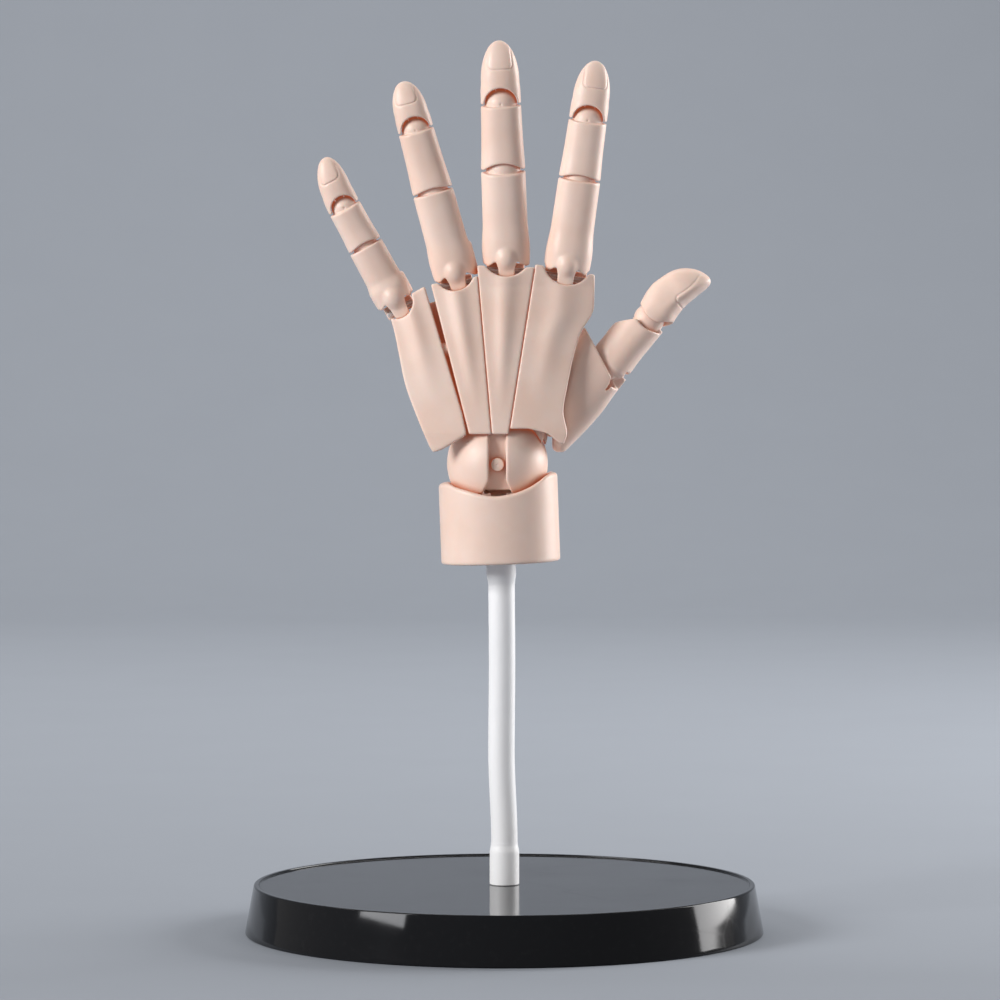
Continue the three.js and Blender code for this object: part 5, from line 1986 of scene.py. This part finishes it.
@dataclass(frozen=True)
class Post:
    """Bendable post between the base and the cuff, mm."""

    bottom: float = 18.1
    ferrule: float = 5.7
    chamfer: float = 0.3
    core: float = 4.0
    wire_room: float = 0.4
    tube_fit: Pair = (0.03, 0.08)
    tube_seat: float = 0.1
    spigot: float = 8
    swivel: float = 10.5
    bottom_height: float = 15.8
    top_height: float = 7.7
    tube: float = 5.1
    wire: float = 2
    bore: float = 2.3
    seat: float = 6
    sway: float = 1.15
    fit: float = 0.3
    bend: float = 18
    shoulder: float = 4
    overlap: float = 0.8
    rings: int = 90
    sides: int = 48

    def ends(self) -> tuple[np.ndarray, np.ndarray]:
        """Centres of the tube's lower and upper end."""
        swivel, axis = place_of("hand_swivel"), axis_of("hand_swivel")
        return np.array([0, 0, self.bottom + self.bottom_height]), swivel - axis * self.top_height

    def path(self, z: np.ndarray) -> np.ndarray:
        """Centre line of the tube at some heights.

        Args:
            z: Heights, mm.

        Returns:
            One point for each height.
        """
        low, high = self.ends()
        knots = [low[2] - 2, low[2], low[2] + (high[2] - low[2]) * 0.36,
                 low[2] + (high[2] - low[2]) * 0.7, high[2], high[2] + 2]
        x = eased(z, knots, [0, 0, -self.sway, -self.sway * 0.8, high[0], high[0]])
        return np.stack([x, np.zeros_like(x), z], axis=-1)

    def sleeve(self, name: str, radius: float, bore: float, z0: float, z1: float,
               rings: int) -> Mesh:
        """Lays a sleeve with a bore along the centre line.

        Args:
            name: Name of the mesh.
            radius: Outer radius.
            bore: Inner radius.
            z0: Lowest height.
            z1: Highest height.
            rings: Rings along the sleeve.

        Returns:
            The mesh.
        """
        turn = np.linspace(0, 2 * np.pi, self.sides, endpoint=False)
        outline = [(radius, h) for h in np.linspace(z0, z1, rings)]
        outline += [(bore, h) for h in np.linspace(z1, z0, 12)]
        heights = np.array([h for _, h in outline])
        centres = self.path(heights)
        radii = np.array([r for r, _ in outline])
        points = np.stack([
            centres[:, :1] + np.outer(radii, np.cos(turn)),
            centres[:, 1:2] + np.outer(radii, np.sin(turn)),
            np.repeat(heights[:, None], self.sides, axis=1),
        ], axis=-1).reshape(-1, 3)
        mesh = skin_mesh(name, points * MM, ring_faces(len(outline), self.sides))
        mesh.set_sharp_from_angle(angle=SHARP)
        return mesh

    def ferrule_mesh(self, name: str, axes: Axes, root: float, seat: float, end: float,
                     side: int) -> Mesh:
        """Turns a ferrule with its spigot and the socket of the wire.

        Args:
            name: Name of the mesh.
            axes: Axes of the ferrule.
            root: Height of the spigot's end.
            seat: Height of the sleeve's end that is seated.
            end: Height of the end that meets the tube.
            side: 1 if the heights rise along the axis, -1 if they fall.

        Returns:
            The mesh.
        """
        hole, rise = self.wire + self.wire_room, end + self.overlap
        bore, lip = (self.tube + fit for fit in self.tube_fit)
        profile = [(hole, root), (self.core, root), (self.core, seat), (self.ferrule - self.chamfer, seat),
                   (self.ferrule, seat + self.chamfer)]
        for s in np.linspace(0, 1, 12):
            radius = self.ferrule - (self.ferrule - lip) * s * s * (3 - 2 * s)
            profile.append((radius, rise - self.shoulder + self.shoulder * s))
        profile += [(bore, rise), (bore, end - self.tube_seat), (hole, end - self.tube_seat)]
        mesh = lathe(name, [(r, side * h) for r, h in profile[::side]], axes, 64)
        mesh.set_sharp_from_angle(angle=SHARP)
        return mesh

    def build(self, shop: Workshop) -> None:
        """Makes the post's pieces; the tube and the wire are each laid in two halves.

        Args:
            shop: Workshop that takes the pieces.
        """
        white = WhiteSleeve()
        low, high = self.ends()
        lower = self.ferrule_mesh("lower_ferrule", Axes.level(np.zeros(3)), self.bottom - self.spigot,
                                  self.bottom + self.fit + 0.02, low[2], 1)
        shop.fix(lower, white, "base", "post_bottom_ferrule")
        swivel = Axes.on(place_of("hand_swivel"), np.array([1.0, 0, 0]), axis_of("hand_swivel"))
        upper = self.ferrule_mesh("upper_ferrule", swivel, -self.swivel, self.fit, self.top_height, -1)
        shop.fix(upper, white, "post_top", "post_top_ferrule")
        split = (place_of("post_lean")[2] + place_of("post_nod")[2]) / 2
        tops = (low[2] + self.fit, split, high[2] - self.fit)
        wires = (low[2] - self.seat, split, high[2] + 4)
        for k, joint in enumerate(("post_lean", "post_nod")):
            at = place_of(joint)[2]
            start = tuple(self.path(np.array([at - self.bend]))[0] * MM)
            end = tuple(self.path(np.array([at + self.bend]))[0] * MM)
            name = ("lower", "upper")[k]
            tube = self.sleeve(f"post_tube_{name}", self.tube, self.bore, tops[k], tops[k + 1], self.rings)
            wire = self.sleeve(f"post_wire_{name}", self.wire, 0.02, wires[k], wires[k + 1], self.rings // 2)
            for mesh, finish, node in ((tube, white, "post_tube"), (wire, DrawnSteel(), "post_wire")):
                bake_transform(shop.piece(mesh, finish, (node,)))


@dataclass(frozen=True)
class Base:
    """Round base with a raised rim, mm."""

    bottom: float = 100
    top: float = 96.5
    height: float = 19
    rim: float = 1.8
    rim_height: float = 0.6
    wall: float = 2.6
    boss: Pair = (9, 9)
    spigot: float = 4.3
    foot: float = 0.6
    lip: float = 0.7
    lip_out: float = 0.25
    rim_round: Pair = (0.3, 0.5)
    rings: Triple = (60, 20, 6)
    sides: int = 256

    def build(self, shop: Workshop) -> None:
        """Turns the shell with rounded edges and sets it on the base.

        Args:
            shop: Workshop that takes the pieces.
        """
        floor = self.height - self.rim_height
        inner = self.top - self.rim
        roof = floor - self.wall
        boss, depth = self.boss
        foot, lip = self.foot, self.lip
        over, under = self.rim_round
        profile = [(self.bottom - self.wall, 0), (self.bottom - foot, 0)]
        profile += arc((self.bottom - foot, foot), foot, -90, 10, 6)
        profile += [(self.bottom - self.lip_out, 2.0), ((self.bottom + self.top) / 2 + 0.1, self.height / 2)]
        profile += arc((self.top - lip + self.lip_out, self.height - lip), lip, 12, 90, 7)
        profile += arc((inner + over, self.height - over), over, 90, 180, 4)
        profile += arc((inner - under, floor + under), under, 0, -90, 5)
        profile += [(radius, floor) for radius in (inner - 1.2, *self.rings, self.spigot)]
        profile += [(self.spigot, floor - depth), (boss, floor - depth), (boss, roof)]
        profile += [(self.top - self.wall, roof)]
        mesh = lathe("base_dish", profile, Axes.level(np.zeros(3)), self.sides)
        mesh.set_sharp_from_angle(angle=SHARP)
        shop.fix(mesh, BlackGloss(), "base", "base_shell")


@dataclass(frozen=True)
class Lamp:
    """A soft rectangular lamp, metres and watts."""

    name: str
    place: Triple
    target: Triple
    size: Pair
    power: float
    colour: Triple = (1.0, 0.985, 0.97)


def aimed(data: bpy.types.ID, place: Triple, target: Triple) -> bpy.types.Object:
    """Sets a lamp or a camera in the scene.

    Args:
        data: The lamp or camera.
        place: Where it stands, metres.
        target: What it looks at.

    Returns:
        The object.
    """
    item = bpy.data.objects.new(data.name, data)
    item.location = place
    aim = Vector(target) - Vector(place)
    item.rotation_euler = aim.to_track_quat("-Z", "Y").to_euler()
    bpy.context.scene.collection.objects.link(item)
    return item


@dataclass(frozen=True)
class Studio:
    """Floor, backdrop, lights and camera, metres."""

    floor_half: float = 4.0
    floor_near: float = -3.0
    wall_at: float = 3.2
    wall_top: float = 3.4
    curve: float = 1.4
    camera: Triple = (-0.0017, -1.8, 0.244)
    target: Triple = (-0.0017, 0.0, 0.167)
    lens: float = 168.5
    sensor: float = 36
    sky: Four = (1.0, 0.965, 0.94, 1.0)
    sky_strength: float = 0.26
    lamps: tuple[Lamp, ...] = (
        Lamp("key", (-1.75, -1.15, 1.0), (0, 0, 0.18), (0.9, 0.9), 46.0),
        Lamp("rim", (1.35, 0.5, 0.55), (0, 0, 0.18), (0.9, 0.9), 26.0),
        Lamp("backdrop", (0, 0.9, 1.9), (0, 2.6, 0.2), (3.0, 0.5), 44.0),
    )

    def sweep(self, shop: Workshop) -> None:
        """Lays the paper as a floor that curves up into the backdrop.

        Args:
            shop: Workshop that paints the paper.
        """
        line = [(self.floor_near, 0.0), (self.wall_at - self.curve, 0.0)]
        for a in np.radians(np.linspace(-90, 0, 24)):
            line.append((self.wall_at - self.curve + self.curve * math.cos(a),
                         self.curve + self.curve * math.sin(a)))
        line.append((self.wall_at, self.wall_top))
        points = np.array([(x, y, z) for y, z in line for x in (-self.floor_half, self.floor_half)])
        k = 2 * np.arange(len(line) - 1)[:, None]
        mesh = skin_mesh("studio_sweep", points, k + np.array([[0, 1, 3, 2]]))
        item = shop.stand(mesh, StudioPaper())

    def light(self) -> None:
        """Hangs soft lamps and sets a pale world."""
        for lamp in self.lamps:
            light = bpy.data.lights.new(lamp.name, "AREA")
            light.shape = "RECTANGLE"
            light.size, light.size_y = lamp.size
            light.energy = lamp.power
            light.color = lamp.colour
            aimed(light, lamp.place, lamp.target)
        world = bpy.data.worlds.new("studio")
        world.use_nodes = True
        sky = world.node_tree.nodes["Background"]
        sky.inputs["Color"].default_value = self.sky
        sky.inputs["Strength"].default_value = self.sky_strength
        bpy.context.scene.world = world

    def shoot(self) -> None:
        """Sets the camera at the photograph's angle."""
        scene = bpy.context.scene
        lens = bpy.data.cameras.new("camera")
        lens.sensor_width = self.sensor
        lens.sensor_fit = "HORIZONTAL"
        lens.lens = self.lens
        scene.camera = aimed(lens, self.camera, self.target)
        scene.view_settings.view_transform = "Standard"


FINGERS = {finger.name: finger for finger in (
    Finger(FingerName.LITTLE, base=7.7, middle_joint=6.8, end_joint=6.35, tip=6, distal=20.5, column=8.4,
           horn=2.6, scoop=3.6, nail_turn=-12, arch=1.3, dip=0, pin_inset=2.9, sway=2.3, lobe=12.4),
    Finger(FingerName.RING, base=8.7, middle_joint=7.85, end_joint=6.85, tip=6.5, distal=19.3, column=8.7,
           horn=1.6, scoop=2.5, nail_turn=-10, arch=1.3, dip=1, lobe=14.8),
    Finger(FingerName.MIDDLE, base=9.2, middle_joint=8.5, end_joint=7.7, tip=7.35, distal=24.4, column=9.6,
           horn=1.6, scoop=2.3, nail_turn=0, arch=2.5, dip=9),
    Finger(FingerName.INDEX, base=9, middle_joint=8.05, end_joint=7.3, tip=7, distal=22.9, column=10.6,
           horn=3, scoop=2.9, nail_turn=12, arch=1.6, dip=1, pin_inset=3.0),
)}


def main() -> None:
    """Builds the hand, its stand and the studio."""
    logging.basicConfig(level=logging.INFO, format="%(message)s")
    shop = Workshop()
    studio = Studio()
    studio.shoot()
    for finger in FINGERS.values():
        finger.build(shop)
    Palm(FINGERS).build(shop)
    Thumb().build(shop)
    Wrist().build(shop)
    Post().build(shop)
    Base().build(shop)
    shop.dress_frame()
    studio.sweep(shop)
    studio.light()


if __name__ == "__main__":
    main()
